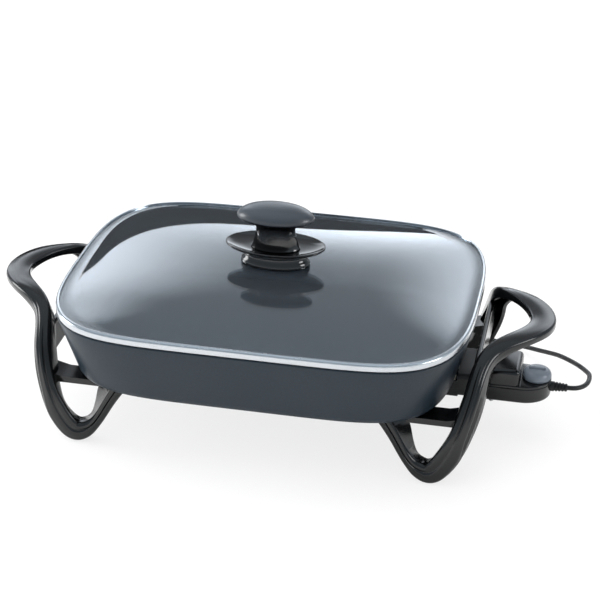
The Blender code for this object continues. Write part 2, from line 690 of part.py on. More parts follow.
def make_guard():
    rings = [shroud_ring(GUARD_START, 0.0), shroud_ring(GUARD_END, 0.0)]
    rings += [shroud_ring(GUARD_END, SHEET), shroud_ring(GUARD_START, SHEET)]
    guard = loft("terminal_guard", rings, ring_loop=True)
    strap_top = SHELF_TOP + SHY
    crown = PIN_Z + GUARD_ABOVE
    foot = PIN_Z - GUARD_BELOW
    inner_half = GUARD_HALF_WIDTH - SHEET - SHY
    tray = block(
        "tray", (TRAY_START, -GUARD_HALF_WIDTH + SHY, foot + SHY),
        (GUARD_START + SHEET, GUARD_HALF_WIDTH - SHY, strap_top - SHY),
    )
    hollow = block(
        "tray_hollow", (TRAY_START - OVERRUN, -inner_half, foot + SHEET + SHY),
        (GUARD_END - OVERRUN, inner_half, strap_top + SHY),
    )
    ledge = block(
        "ledge", (GUARD_START + SHY, -GUARD_HALF_WIDTH + GUARD_CORNER, strap_top - SHEET / 2),
        (GUARD_START + SHEET, GUARD_HALF_WIDTH - GUARD_CORNER, crown - SHEET / 2),
    )
    combine(guard, tool(tray), "UNION")
    combine(guard, tool(hollow), "DIFFERENCE")
    combine(guard, tool(ledge), "UNION")
    for way, spot in ((-1, "front"), (1, "rear")):
        y_low, y_high = sorted((way * STRAP_INNER, way * STRAP_OUTER))
        strap = block(
            f"strap_{spot}",
            (STRAP_START, y_low, strap_top - SHEET - SHY), (GUARD_START + SHEET / 2, y_high, strap_top - SHY),
        )
        hole = rod(
            f"strap_hole_{spot}", SCREW_HOLE,
            (GUARD_SCREW_X, (y_low + y_high) / 2, strap_top - OVERRUN),
            (GUARD_SCREW_X, (y_low + y_high) / 2, strap_top + OVERRUN),
        )
        combine(guard, tool(strap), "UNION")
        combine(guard, tool(hole), "DIFFERENCE")
        seat = strap_top - SHEET - SHY - FIT
        screw(
            f"guard_screw_{spot}", GUARD_SCREW_X, (y_low + y_high) / 2, seat,
            SCREW_RADIUS, SCREW_CAP * 5 / 6, SCREW_CAP_HEIGHT, LEG_HEIGHT + SCREW_BITE - seat,
        )
    return keep(guard, BLACK_STEEL)


def glass_height(share):
    """Height of the top of the glass, from its middle (0) to its edge (1)."""
    edge = RIM_Z + FIT + BAND_HEIGHT - BAND_WALL - FIT
    return edge + (GLASS_TOP - edge) * (1 - min(share / BRIM_SHARE, 1.0) ** DOME_POWER)


def glass_ring(share, drop):
    reach = BAND_WALL + FIT
    half_x = GLASS_HOLE + share * (HALF_LENGTH - reach - GLASS_HOLE)
    half_y = GLASS_HOLE + share * (HALF_WIDTH - reach - GLASS_HOLE)
    power_x = 2 + share * (END_BOW_POWER - 2)
    power_y = 2 + share * (SIDE_BOW_POWER - 2)
    return oval(half_x, half_y, glass_height(share) - drop, PLAN_COUNT, power_x, power_y)


def make_lid():
    top = [glass_ring(share, 0.0) for share in DOME_SHARES]
    under = [glass_ring(share, GLASS) for share in reversed(DOME_SHARES)]
    pieces = [keep(loft("lid_glass", top + under, ring_loop=True), GLAZING)]
    foot = RIM_Z + FIT
    crown = foot + BAND_HEIGHT
    groove_top = crown - BAND_WALL
    groove_foot = groove_top - GLASS - 2 * FIT
    section = [
        (BAND_DEPTH, groove_top), (BAND_WALL, groove_top), (BAND_WALL, groove_foot), (BAND_DEPTH, groove_foot),
        (BAND_DEPTH, foot + BAND_EASE), (BAND_DEPTH - BAND_EASE, foot), (BAND_EASE, foot), (0.0, foot + BAND_EASE),
        (0.0, crown - BAND_EASE), (BAND_EASE, crown), (BAND_DEPTH - BAND_EASE, crown), (BAND_DEPTH, crown - BAND_EASE),
    ]
    rings = [pan_outline(inset, z) for inset, z in section]
    pieces.append(keep(loft("lid_rim", rings, ring_loop=True), STEEL))
    return pieces


def bore_ring(z):
    return oval(KNOB_BORE, KNOB_BORE, z, KNOB_COUNT)


def make_knob():
    foot, top = KNOB_FOOT, GUARD_FOOT
    base = [
        bore_ring(foot), oval(BASE_LONG - MM, BASE_DEEP - MM, foot, KNOB_COUNT),
        oval(BASE_LONG, BASE_DEEP, foot + BASE_RISE / 12, KNOB_COUNT),
        oval(BASE_LONG * 0.97, BASE_DEEP * 0.96, foot + BASE_RISE * 0.4, KNOB_COUNT),
        oval(BASE_LONG * 0.9, BASE_DEEP * 0.88, foot + BASE_RISE * 0.5, KNOB_COUNT),
        oval(BASE_LONG * 0.86, BASE_DEEP * 0.84, top, KNOB_COUNT),
        bore_ring(top),
    ]
    pieces = [keep(loft("knob_base", base, ring_loop=True), GLOSS_BLACK)]
    foot = GUARD_FOOT + FIT
    rim = foot + GUARD_RISE
    guard = [
        bore_ring(foot), oval(BASE_LONG * 0.84, BASE_DEEP * 0.82, foot, KNOB_COUNT),
        oval(GUARD_LONG * 0.94, GUARD_DEEP * 0.93, foot + GUARD_RISE * 0.4, KNOB_COUNT),
        oval(GUARD_LONG, GUARD_DEEP, rim - GUARD_WALL / 2, KNOB_COUNT),
        oval(GUARD_LONG * 0.985, GUARD_DEEP * 0.98, rim, KNOB_COUNT),
        oval(GUARD_LONG * 0.95, GUARD_DEEP * 0.93, rim - GUARD_WALL / 3, KNOB_COUNT),
        oval(GUARD_LONG * 0.7, GUARD_DEEP * 0.68, foot + GUARD_WALL + GUARD_RISE * 0.1, KNOB_COUNT),
        oval(NECK_LONG * 1.4, NECK_DEEP * 1.3, foot + GUARD_WALL, KNOB_COUNT),
        bore_ring(foot + GUARD_WALL),
    ]
    pieces.append(keep(loft("knob_guard", guard, ring_loop=True), GLOSS_BLACK))
    foot = foot + GUARD_WALL + FIT
    brim = KNOB_TOP - GRIP_CROWN
    neck_top = brim - NECK_TOP_DROP
    bore_top = neck_top + NECK_TOP_DROP / 3
    grip = [
        bore_ring(bore_top), bore_ring(foot), oval(NECK_LONG * 1.3, NECK_DEEP * 1.2, foot, KNOB_COUNT),
        oval(NECK_LONG * 1.28, NECK_DEEP * 1.18, foot + MM, KNOB_COUNT),
        oval(NECK_LONG * 1.1, NECK_DEEP * 1.08, (foot + neck_top) / 2, KNOB_COUNT),
        oval(NECK_LONG, NECK_DEEP, neck_top, KNOB_COUNT),
        oval(NECK_LONG * 1.1, NECK_DEEP * 1.1, brim - NECK_TOP_DROP / 2, KNOB_COUNT),
        oval(GRIP_LONG * 0.86, GRIP_DEEP * 0.84, brim - NECK_TOP_DROP / 3, KNOB_COUNT),
        oval(GRIP_LONG, GRIP_DEEP, brim, KNOB_COUNT),
        oval(GRIP_LONG * 0.985, GRIP_DEEP * 0.98, brim + GRIP_CROWN * 0.2, KNOB_COUNT),
        oval(GRIP_LONG * 0.88, GRIP_DEEP * 0.86, brim + GRIP_CROWN * 0.56, KNOB_COUNT),
        oval(GRIP_LONG * 0.6, GRIP_DEEP * 0.58, brim + GRIP_CROWN * 0.88, KNOB_COUNT),
        oval(GRIP_LONG * 0.25, GRIP_DEEP * 0.24, KNOB_TOP, KNOB_COUNT),
    ]
    pieces.append(keep(loft("knob_grip", grip), GLOSS_BLACK))
    under = GLASS_TOP - GLASS
    pieces.append(washer("knob_washer", 0.0, 0.0, under - FIT, SEAL_RADIUS, KNOB_BORE, SEAL_THICKNESS, RUBBER))
    seat = under - FIT - SEAL_THICKNESS - FIT
    pieces.append(
        screw("knob_screw", 0.0, 0.0, seat, KNOB_SCREW, SCREW_HEAD, SCREW_HEAD_HEIGHT, bore_top - FIT - seat)
    )
    return pieces


def control_ring(inset, z):
    """The control's outline seen from above: square at the pan, rounded at the cord."""
    half = CONTROL_HALF_WIDTH - inset
    reach = CONTROL_END - CONTROL_SQUARE - inset
    points = [Vector((CONTROL_START + inset, half, z)), Vector((CONTROL_START + inset, -half, z))]
    for k in range(CONTROL_ARC_STEPS + 1):
        turn = math.pi * (k / CONTROL_ARC_STEPS - 0.5)
        points.append(Vector((CONTROL_SQUARE + reach * math.cos(turn), half * math.sin(turn), z)))
    return points


def make_control():
    pieces = []
    low, split = CONTROL_FLOOR, CONTROL_PART_LINE
    rings = [
        control_ring(BELLY_RADIUS, low), control_ring(BELLY_RADIUS * 0.3, low + BELLY_RADIUS * 0.3),
        control_ring(0.0, low + BELLY_RADIUS), control_ring(0.0, split),
    ]
    housing = loft("control_housing", rings)
    spread = TERMINAL_SPACING / 2
    nose = block(
        "nose", (NOSE_START, -NOSE_HALF_WIDTH, PIN_Z - NOSE_BELOW),
        (CONTROL_START - 2 * FIT, NOSE_HALF_WIDTH, PIN_Z + NOSE_ABOVE), NOSE_EDGE,
    )
    root = block(
        "nose_root",
        (CONTROL_START - NOSE_ROOT / 2, -CONTROL_HALF_WIDTH + NOSE_EDGE, PIN_Z - NOSE_BELOW + NOSE_EDGE),
        (CONTROL_START + NOSE_ROOT / 2, CONTROL_HALF_WIDTH - NOSE_EDGE, split - FIT),
    )
    combine(housing, tool(nose), "UNION")
    combine(housing, tool(root), "UNION")
    pocket = block(
        "pocket", (POCKET_START, -POCKET_HALF_WIDTH, POCKET_FLOOR), (POCKET_END, POCKET_HALF_WIDTH, split + OVERRUN),
    )
    combine(housing, tool(pocket), "DIFFERENCE")
    for way, spot in ((-1, "front"), (1, "rear")):
        bore = rod(
            f"contact_bore_{spot}", CONTACT_OUTER + FIT,
            (NOSE_START - OVERRUN, way * spread, PIN_Z), (CONTROL_START - FIT, way * spread, PIN_Z),
        )
        combine(housing, tool(bore), "DIFFERENCE")
        length = CONTROL_START - 3 * FIT - CONTACT_START
        profile = [(CONTACT_INNER, length), (CONTACT_OUTER, length), (CONTACT_OUTER, 0.0), (CONTACT_INNER, 0.0)]
        spot_base = (CONTACT_START, way * spread, PIN_Z)
        pieces.append(keep(turned(f"contact_{spot}", profile, spot_base, "X", ring=True), BRASS))
        seat = low - FIT
        hole_top = seat + CASE_SCREW_REACH + 2 * FIT
        for part in ("housing", "cover"):
            hole = rod(
                f"case_hole_{part}_{spot}", CASE_SCREW_RADIUS + FIT,
                (CASE_SCREW_X, way * CASE_SCREW_Y, low - OVERRUN), (CASE_SCREW_X, way * CASE_SCREW_Y, hole_top),
            )
            tool(hole)
        pieces.append(
            screw(
                f"control_screw_{spot}", CASE_SCREW_X, way * CASE_SCREW_Y, seat,
                CASE_SCREW_RADIUS, CASE_SCREW_CAP, CASE_SCREW_CAP_HEIGHT, CASE_SCREW_REACH,
            )
        )
    deck = [
        control_ring(0.0, split + FIT), control_ring(0.0, CONTROL_DECK - BLOCK_INSET),
        control_ring(BLOCK_INSET, CONTROL_DECK),
    ]
    cover = loft("control_cover", deck)
    hump = block(
        "hump",
        (CONTROL_START + BLOCK_INSET, -CONTROL_HALF_WIDTH + BLOCK_INSET, split + 2 * FIT),
        (BLOCK_END, CONTROL_HALF_WIDTH - BLOCK_INSET, BLOCK_TOP), BLOCK_ROUND,
    )
    foot = block(
        "hump_foot",
        (CONTROL_START + 2 * BLOCK_INSET, -CONTROL_HALF_WIDTH + 2 * BLOCK_INSET, split + 2 * FIT + SHY),
        (BLOCK_END - BLOCK_INSET, CONTROL_HALF_WIDTH - 2 * BLOCK_INSET, BLOCK_TOP - BLOCK_ROUND),
    )
    combine(cover, tool(hump), "UNION")
    combine(cover, tool(foot), "UNION")
    room = block(
        "cover_pocket", (POCKET_START, -POCKET_HALF_WIDTH, split - OVERRUN),
        (COVER_POCKET_END, POCKET_HALF_WIDTH, COVER_POCKET_TOP),
    )
    combine(cover, tool(room), "DIFFERENCE")
    probe_way = rod("probe_way", PROBE_RADIUS + FIT, (NOSE_START - OVERRUN, 0.0, PIN_Z), (SWITCH_START, 0.0, PIN_Z))
    tool(probe_way)
    for body in (housing, cover):
        combine(body, probe_way, "DIFFERENCE")
    for spot in ("front", "rear"):
        combine(housing, bpy.data.objects[f"case_hole_housing_{spot}"], "DIFFERENCE")
        combine(cover, bpy.data.objects[f"case_hole_cover_{spot}"], "DIFFERENCE")
    exit_bore = rod(
        "exit_bore", RELIEF_ROOT + FIT, (POCKET_END - OVERRUN, 0.0, CORD_Z), (CONTROL_END + OVERRUN, 0.0, CORD_Z),
    )
    tool(exit_bore)
    for body in (housing, cover):
        combine(body, exit_bore, "DIFFERENCE")
    shaft_bore = rod(
        "shaft_bore", SHAFT_RADIUS + SHAFT_FIT, (DIAL_X, 0.0, POCKET_FLOOR), (DIAL_X, 0.0, CONTROL_DECK + OVERRUN),
    )
    combine(cover, tool(shaft_bore), "DIFFERENCE")
    lens_bore = rod(
        "lens_bore", LENS_RADIUS + FIT,
        (LENS_X, LENS_Y, BLOCK_TOP - LENS_ROOT), (LENS_X, LENS_Y, BLOCK_TOP + OVERRUN),
    )
    combine(cover, tool(lens_bore), "DIFFERENCE")
    pieces += [keep(housing, PHENOLIC), keep(cover, PHENOLIC)]
    lens = [
        (0.0, LENS_RISE), (LENS_RADIUS * 0.6, LENS_RISE * 0.8), (LENS_RADIUS, 0.0),
        (LENS_RADIUS, FIT - LENS_ROOT), (0.0, FIT - LENS_ROOT),
    ]
    pieces.append(keep(turned("indicator_lens", lens, (LENS_X, LENS_Y, BLOCK_TOP)), LENS_RED))
    switch = block(
        "thermostat_switch",
        (SWITCH_START, -POCKET_HALF_WIDTH + FIT, POCKET_FLOOR + FIT),
        (SWITCH_END, POCKET_HALF_WIDTH - FIT, COVER_POCKET_TOP - FIT), SWITCH_EDGE,
    )
    pieces.append(keep(switch, CERAMIC))
    probe_length = SWITCH_START - FIT - PROBE_TIP
    probe = [
        (0.0, probe_length), (PROBE_RADIUS, probe_length), (PROBE_RADIUS, PROBE_RADIUS),
        (PROBE_RADIUS * 0.7, PROBE_RADIUS * 0.3), (0.0, 0.0),
    ]
    pieces.append(keep(turned("probe", probe, (PROBE_TIP, 0.0, PIN_Z), "X"), STEEL))
    return pieces


def make_dial():
    low = CONTROL_DECK + FIT
    bore = SHAFT_RADIUS + FIT
    profile = [
        (0.0, DIAL_HEIGHT), (DIAL_RADIUS * 0.55, DIAL_HEIGHT * 0.96), (DIAL_RADIUS - DIAL_EDGE, DIAL_HEIGHT * 0.8),
        (DIAL_RADIUS - DIAL_EDGE / 4, DIAL_HEIGHT * 0.6), (DIAL_RADIUS, DIAL_HEIGHT * 0.4), (DIAL_RADIUS, 0.0),
        (bore, 0.0), (bore, DIAL_BORE_DEPTH), (0.0, DIAL_BORE_DEPTH),
    ]
    dial = turned("control_dial", profile, (DIAL_X, 0.0, low), steps=32)
    rib = block(
        "dial_rib",
        (DIAL_X - DIAL_RIB_LENGTH / 2, -DIAL_RIB_WIDTH / 2, low + DIAL_BORE_DEPTH + MM),
        (DIAL_X + DIAL_RIB_LENGTH / 2, DIAL_RIB_WIDTH / 2, low + DIAL_HEIGHT + DIAL_RIB_RISE), DIAL_RIB_WIDTH / 4,
    )
    combine(dial, tool(rib), "UNION")
    shaft_low = POCKET_FLOOR + FIT
    shaft_high = low + DIAL_BORE_DEPTH - FIT
    shaft = rod("dial_shaft", SHAFT_RADIUS, (DIAL_X, 0.0, shaft_low), (DIAL_X, 0.0, shaft_high))
    return [keep(dial, DIAL_BLACK), keep(shaft, STEEL)]


def coil_way():
    """The coil's middle line: it winds in along the floor, climbs, and winds out on top."""
    half_turns = COIL_TURNS / 2
    steps = round(COIL_TURNS * COIL_COUNT)
    way = []
    for k in range(steps + 1):
        turns = COIL_TURNS * k / steps
        radius = COIL_OUTER - COIL_PITCH * (half_turns - abs(turns - half_turns))
        climb = min(max((turns - half_turns) * 2 + 0.5, 0.0), 1.0)
        angle = math.radians(COIL_START) + math.tau * turns
        way.append(
            Vector((
                COIL_X + radius * math.cos(angle),
                COIL_Y + radius * math.sin(angle),
                COIL_Z + COIL_PITCH * climb,
            ))
        )
    lead_in = (way[0] - way[1]).normalized() * CORD_DIAMETER
    lead_out = (way[-1] - way[-2]).normalized() * CORD_DIAMETER
    lead_in.z = lead_out.z = 0.0
    return [way[0] + lead_in] + way + [way[-1] + lead_out]


def least_gap(way, diameter):
    """The smallest room between turns that are not neighbours along the way."""
    apart = COIL_COUNT // 2
    least = math.inf
    for i, here in enumerate(way):
        for j in range(i + apart, len(way) - 1):
            start, end = way[j], way[j + 1]
            along = end - start
            share = min(max((here - start).dot(along) / along.length_squared, 0.0), 1.0)
            least = min(least, (start + along * share - here).length - diameter)
    return least


def make_cord():
    reach = RELIEF_END - RELIEF_START
    profile = [(0.0, reach), (RELIEF_NECK, reach)]
    groove_zone = CONTROL_END + 3 * FIT - RELIEF_START
    pitch = (reach - groove_zone) / RELIEF_RIBS
    for k in range(RELIEF_RIBS):
        top = reach - k * pitch
        radius = RELIEF_NECK + (RELIEF_ROOT - RELIEF_NECK) * (k + 1) / RELIEF_RIBS
        profile += [(radius, top - pitch * 0.3), (radius, top - pitch * 0.75)]
        if k < RELIEF_RIBS - 1:
            profile.append((radius - RELIEF_GROOVE, top - pitch * 0.9))
    profile += [(RELIEF_ROOT, 0.0), (0.0, 0.0)]
    pieces = [keep(turned("strain_relief", profile, (RELIEF_START, 0.0, CORD_Z), "X"), RUBBER)]
    coil = coil_way()
    print("least gap between the coil's turns, mm:", round(least_gap(coil, CORD_DIAMETER) / MM, 3))
    start_way = (coil[0] - coil[1]).normalized()
    end_way = (coil[-1] - coil[-2]).normalized()
    fall = (CORD_Z - CORD_RADIUS) / (ROUTE_EXIT_Z - CORD_RADIUS)
    route = [Vector(point) * MM for point in CORD_ROUTE_MM]
    for point in route:
        point.z = CORD_RADIUS + (point.z - CORD_RADIUS) * fall
    route.append(coil[0] + start_way * CORD_DIAMETER)
    route.append(coil[0] + start_way * FIT)
    pieces.append(keep(tube("cord", smooth_way(route, STRETCH_COUNT - 1), CORD_RADIUS, 2), RUBBER))
    pieces.append(keep(tube("cord_coil", coil, CORD_RADIUS, 1), RUBBER))
    heading = Vector((math.cos(math.radians(PLUG_TURN)), math.sin(math.radians(PLUG_TURN)), 0.0))
    plug_base = Vector((PLUG_X, PLUG_Y, PLUG_HALF_HEIGHT + FIT))
    tail = [coil[-1] + end_way * FIT, coil[-1] + end_way * CORD_DIAMETER]
    tail += [Vector(point) * MM for point in TAIL_ROUTE_MM]
    tail += [plug_base - heading * CORD_DIAMETER, plug_base - heading * FIT]
    pieces.append(keep(tube("cord_end", smooth_way(tail, STRETCH_COUNT - 1), CORD_RADIUS, 2), RUBBER))
    length = sum((b - a).length for run in (route, coil, tail) for a, b in zip(run, run[1:]))
    print("cord length, m:", round(length, 3))
    pieces.append(make_tie())
    pieces += make_plug(plug_base, heading)
    return pieces


def make_tie():
    """A flat strap once round the wound turns."""
    inner = COIL_OUTER - COIL_PITCH * COIL_TURNS / 2
    radial_half = (COIL_OUTER - inner) / 2 + CORD_RADIUS + 2 * FIT
    low, high = COIL_Z - CORD_RADIUS - FIT, COIL_Z + COIL_PITCH + CORD_RADIUS + FIT
    middle = (COIL_OUTER + inner) / 2
    rings = []
    for along, wall in ((-1, 0.0), (-1, TIE_WALL), (1, TIE_WALL), (1, 0.0)):
        corners = ((1, low - wall), (1, high + wall), (-1, high + wall), (-1, low - wall))
        rings.append([
            Vector((middle + side * (radial_half + wall), along * TIE_WIDTH / 2, z)) for side, z in corners
        ])
    tie = loft("coil_tie", rings, ring_loop=True)
    tie.rotation_euler = (0.0, 0.0, math.radians(TIE_ANGLE))
    tie.location = (COIL_X, COIL_Y, 0.0)
    return keep(tie, RUBBER)


def make_plug(base, heading):
    """A moulded two-blade plug lying flat; its cord end is at the base."""
    rows = (
        (0.0, PLUG_NECK, PLUG_NECK, 2.0), (PLUG_LENGTH * 0.2, PLUG_NECK * 1.2, PLUG_NECK * 1.1, 2.0),
        (PLUG_LENGTH * 0.45, PLUG_HALF_WIDTH * 0.8, PLUG_HALF_HEIGHT * 0.85, 3.0),
        (PLUG_LENGTH * 0.7, PLUG_HALF_WIDTH, PLUG_HALF_HEIGHT, 4.0),
        (PLUG_LENGTH * 0.95, PLUG_HALF_WIDTH, PLUG_HALF_HEIGHT, 4.0),
        (PLUG_LENGTH, PLUG_HALF_WIDTH * 0.95, PLUG_HALF_HEIGHT * 0.92, 4.0),
    )
    rings = []
    for along, half_wide, half_high, power in rows:
        flat = oval(half_wide, half_high, 0.0, 24, power, power)
        rings.append([Vector((along, point.x, point.y)) for point in flat])
    body = loft("plug_body", rings)
    turn = math.atan2(heading.y, heading.x)
    face = base + heading * PLUG_LENGTH
    side = Vector((-heading.y, heading.x, 0.0))
    pieces = []
    for way, spot in ((-1, "front"), (1, "rear")):
        middle = face + side * (way * BLADE_SPACING / 2)
        low = Vector((-BLADE_ROOT, -BLADE_THICKNESS / 2, -BLADE_WIDTH / 2))
        high = Vector((BLADE_LENGTH, BLADE_THICKNESS / 2, BLADE_WIDTH / 2))
        blade = block(f"plug_blade_{spot}", low, high, BLADE_THICKNESS / 5)
        grow = Vector((FIT, FIT, FIT))
        slot = block(f"blade_slot_{spot}", low - grow, high + grow)
        for obj in (blade, slot):
            local = Matrix.Translation(middle) @ Matrix.Rotation(turn, 4, "Z") @ Matrix.Translation(obj.location)
            obj.matrix_world = local
        combine(body, tool(slot), "DIFFERENCE")
        pieces.append(keep(blade, BRASS))
    body.rotation_euler = (0.0, 0.0, turn)
    body.location = base
    pieces.append(keep(body, RUBBER))
    return pieces


def carry(pieces, name, spot):
    """Parents moving pieces to an empty on their joint's axis."""
    joint = bpy.data.objects.new(name, None)
    joint.location = spot
    model.objects.link(joint)
    for piece in pieces:
        piece.parent = joint
        piece.matrix_parent_inverse = Matrix.Translation(-Vector(spot))
    return joint


make_pan()
make_element()
make_guard()
for end_side in (-1, 1):
    make_leg_handle(end_side)
carry(make_lid() + make_knob(), "lid_lift_joint", (0.0, 0.0, RIM_Z))
dial_joint = carry(make_dial(), "dial_turn_joint", (DIAL_X, 0.0, CONTROL_DECK))
control_joint = carry(make_control() + make_cord(), "control_pull_joint", (GUARD_END, 0.0, PIN_Z))
dial_joint.parent = control_joint
dial_joint.matrix_parent_inverse = Matrix.Translation(-control_joint.location)
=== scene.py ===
import json
import math

import bmesh
import bpy
from bpy.props import FloatProperty, FloatVectorProperty, IntProperty, PointerProperty
from mathutils import Matrix, Vector


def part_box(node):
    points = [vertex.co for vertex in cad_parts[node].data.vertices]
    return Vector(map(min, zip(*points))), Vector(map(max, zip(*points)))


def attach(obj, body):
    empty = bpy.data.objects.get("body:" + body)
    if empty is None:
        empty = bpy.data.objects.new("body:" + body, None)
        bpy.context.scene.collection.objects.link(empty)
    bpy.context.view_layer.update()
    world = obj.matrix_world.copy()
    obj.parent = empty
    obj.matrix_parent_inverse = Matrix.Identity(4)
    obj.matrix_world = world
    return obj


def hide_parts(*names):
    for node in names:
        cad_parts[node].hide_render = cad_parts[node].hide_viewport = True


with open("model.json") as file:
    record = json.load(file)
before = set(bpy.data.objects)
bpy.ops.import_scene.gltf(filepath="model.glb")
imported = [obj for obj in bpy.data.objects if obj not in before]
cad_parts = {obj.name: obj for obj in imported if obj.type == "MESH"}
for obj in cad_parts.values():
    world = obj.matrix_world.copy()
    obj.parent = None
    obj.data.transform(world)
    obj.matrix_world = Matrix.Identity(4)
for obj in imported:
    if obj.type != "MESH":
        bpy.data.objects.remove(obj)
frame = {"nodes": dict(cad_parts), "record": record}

bl_info = {
    "name": "Electric skillet",
    "version": (1, 0, 0),
    "blender": (4, 5, 0),
    "location": "3D View > Sidebar > Skillet",
    "description": "Builds an electric skillet with a lift-off glass lid and a plug-in heat control",
    "category": "Object",
}

MM = 0.001
FIT = 0.3 * MM
PAN_LOW, PAN_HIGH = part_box("pan")
RIM_Z = PAN_HIGH.z
PAN_FLOOR = PAN_LOW.z
BAND_LOW, BAND_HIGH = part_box("lid_rim")
GLASS_LOW, GLASS_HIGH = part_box("lid_glass")
GRIP_LOW, GRIP_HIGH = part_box("knob_grip")
PIN_LOW, PIN_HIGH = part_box("terminal_pin_front")
PIN_Z = (PIN_LOW.z + PIN_HIGH.z) / 2
FOOT_Y = 113.2 * MM
FOOT_X = PAN_HIGH.x - 28 * MM
KNEE_X = PAN_HIGH.x + 11.5 * MM
TIP_X = -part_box("leg_handle_left")[0].x - 10.9 * MM
HANDLE_Z = 124 * MM
FOOT_SINK = -0.5 * MM       # the round of the foot dips this far, and is then cut flat on the floor
DIAL_LOW, DIAL_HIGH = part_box("control_dial")
DIAL_X = (DIAL_LOW.x + DIAL_HIGH.x) / 2


def linear(code):
    """A colour's sRGB hex code as linear red, green and blue."""
    shares = [int(code[k:k + 2], 16) / 255 for k in (1, 3, 5)]
    return tuple(c / 12.92 if c <= 0.04045 else ((c + 0.055) / 1.055) ** 2.4 for c in shares)


def colour(label, code, words):
    """A colour that a user can change, from its hex code."""
    return FloatVectorProperty(name=label, description=words, subtype="COLOR", size=3, min=0.0, max=1.0, default=linear(code))


class SkilletSizes(bpy.types.PropertyGroup):
    """The sizes that give the pieces their shape, in metres."""

    end_bow: FloatProperty(name="End squareness", description="How square the pan's short ends are", default=5.51, min=2, max=9)
    side_bow: FloatProperty(name="Side squareness", description="How square the pan's long sides are", default=3.27, min=2, max=9)
    plan_count: IntProperty(name="Plan points", description="Points round the pan and the lid", default=160, min=48, max=320)
    wall: FloatProperty(name="Pan wall", description="Thickness of the pan's wall", default=4 * MM, unit="LENGTH")
    wall_draw: FloatProperty(name="Wall draw", description="How far the wall leans in by its foot", default=16 * MM, unit="LENGTH")
    foot_radius: FloatProperty(name="Foot radius", description="Round from the wall to the base", default=14 * MM, unit="LENGTH")
    base: FloatProperty(name="Pan base", description="Thickness of the pan's base", default=6 * MM, unit="LENGTH")
    lip: FloatProperty(name="Lip round", description="Round of the pan's lip", default=1.3 * MM, unit="LENGTH")
    glass: FloatProperty(name="Glass", description="Thickness of the lid's glass", default=4 * MM, unit="LENGTH")
    band_depth: FloatProperty(name="Band depth", description="How far the band laps over the glass", default=3 * MM, unit="LENGTH")
    band_round: FloatProperty(name="Band round", description="Round of the band's outer top edge", default=3 * MM, unit="LENGTH")
    foot_half: FloatProperty(name="Moulding breadth", description="Half the moulding's breadth at the foot", default=12.5 * MM, unit="LENGTH")
    leg_depth: FloatProperty(name="Moulding depth", description="Half the moulding's depth at the foot", default=8.2 * MM, unit="LENGTH")
    crown: FloatProperty(name="Moulding crown", description="How far the moulding's face bows out", default=1.2 * MM, unit="LENGTH")
    flute: FloatProperty(name="Leg flute", description="Depth of the flute down the leg's face", default=1.5 * MM, unit="LENGTH")
    cord: FloatProperty(name="Cord", description="Diameter of the cord", default=4.8 * MM, unit="LENGTH")


class SkilletColours(bpy.types.PropertyGroup):
    """The colours of the finishes."""

    coat: colour("Non-stick coat", "#1b262f", "The pan's baked coat")
    phenolic: colour("Phenolic", "#090a0b", "Legs, handles and the control's case")
    knob: colour("Knob", "#060607", "The knob's three mouldings")
    # Painted light: this blue-grey is a painted reflection of the pale room on the grip's lit top, and the neck below
    # keeps the knob's black.
    grip: colour("Knob grip", "#272d34", "The grip's satin top")
    dial: colour("Dial", "#666f7a", "The turning dial")
    steel: colour("Polished steel", "#b4b8bc", "The lid's band, pins and probe")
    plate: colour("Plated steel", "#c4c6c8", "Screws, washers and the probe's socket")
    black_steel: colour("Black sheet steel", "#0e0f10", "The terminals' guard")
    sheath: colour("Element sheath", "#6a6863", "The heating rod's steel sheath")
    ceramic: colour("Ceramic", "#e9e5da", "Terminal beads and the thermostat's body")
    brass: colour("Brass", "#c9a052", "Contacts and blades")
    rubber: colour("Cord jacket", "#060607", "The cord, its strain relief, tie and plug")
    lens: colour("Indicator lens", "#b3160f", "The pilot light's lens")
    glass: colour("Glass", "#dfeaf4", "The lid's tempered glass")
    floor: colour("Floor", "#f6f6f6", "The studio floor")


class SkilletStudio(bpy.types.PropertyGroup):
    """The camera and the lamps."""

    lens: FloatProperty(name="Lens", description="Focal length in millimetres", default=107.95, min=20, max=300)
    azimuth: FloatProperty(name="Azimuth", description="The camera's way round from the front", default=math.radians(11.35), subtype="ANGLE")
    elevation: FloatProperty(name="Elevation", description="The camera's height angle", default=math.radians(27.99), subtype="ANGLE")
    roll: FloatProperty(name="Roll", description="The camera's turn about its own line", default=math.radians(0.7), subtype="ANGLE")
    distance: FloatProperty(name="Distance", description="From the camera to its aim", default=1775.6 * MM, unit="LENGTH")
    key: FloatProperty(name="Key", description="Power of the softbox above, in watts", default=36.0, min=0)
    left: FloatProperty(name="Left", description="Power of the left softbox, in watts", default=26.0, min=0)
    right: FloatProperty(name="Right", description="Power of the right softbox, in watts", default=20.0, min=0)
    screen: FloatProperty(name="Screen", description="Strength of the lit screen behind, at its foot", default=1.0, min=0)
    room: FloatProperty(name="Room", description="Strength of the pale room on matt surfaces", default=1.3, min=0)
    floor_glow: FloatProperty(name="Floor glow", description="Share of plain white in the floor's look", default=0.78, min=0, max=1)


def add(tree, kind, inputs=None, **settings):
    """Adds a node to a tree with its settings, input values and links."""
    node = tree.nodes.new(kind)
    for name, value in settings.items():
        setattr(node, name, value)
    for name, value in (inputs or {}).items():
        if isinstance(value, bpy.types.NodeSocket):
            tree.links.new(value, node.inputs[name])
        else:
            node.inputs[name].default_value = value
    return node


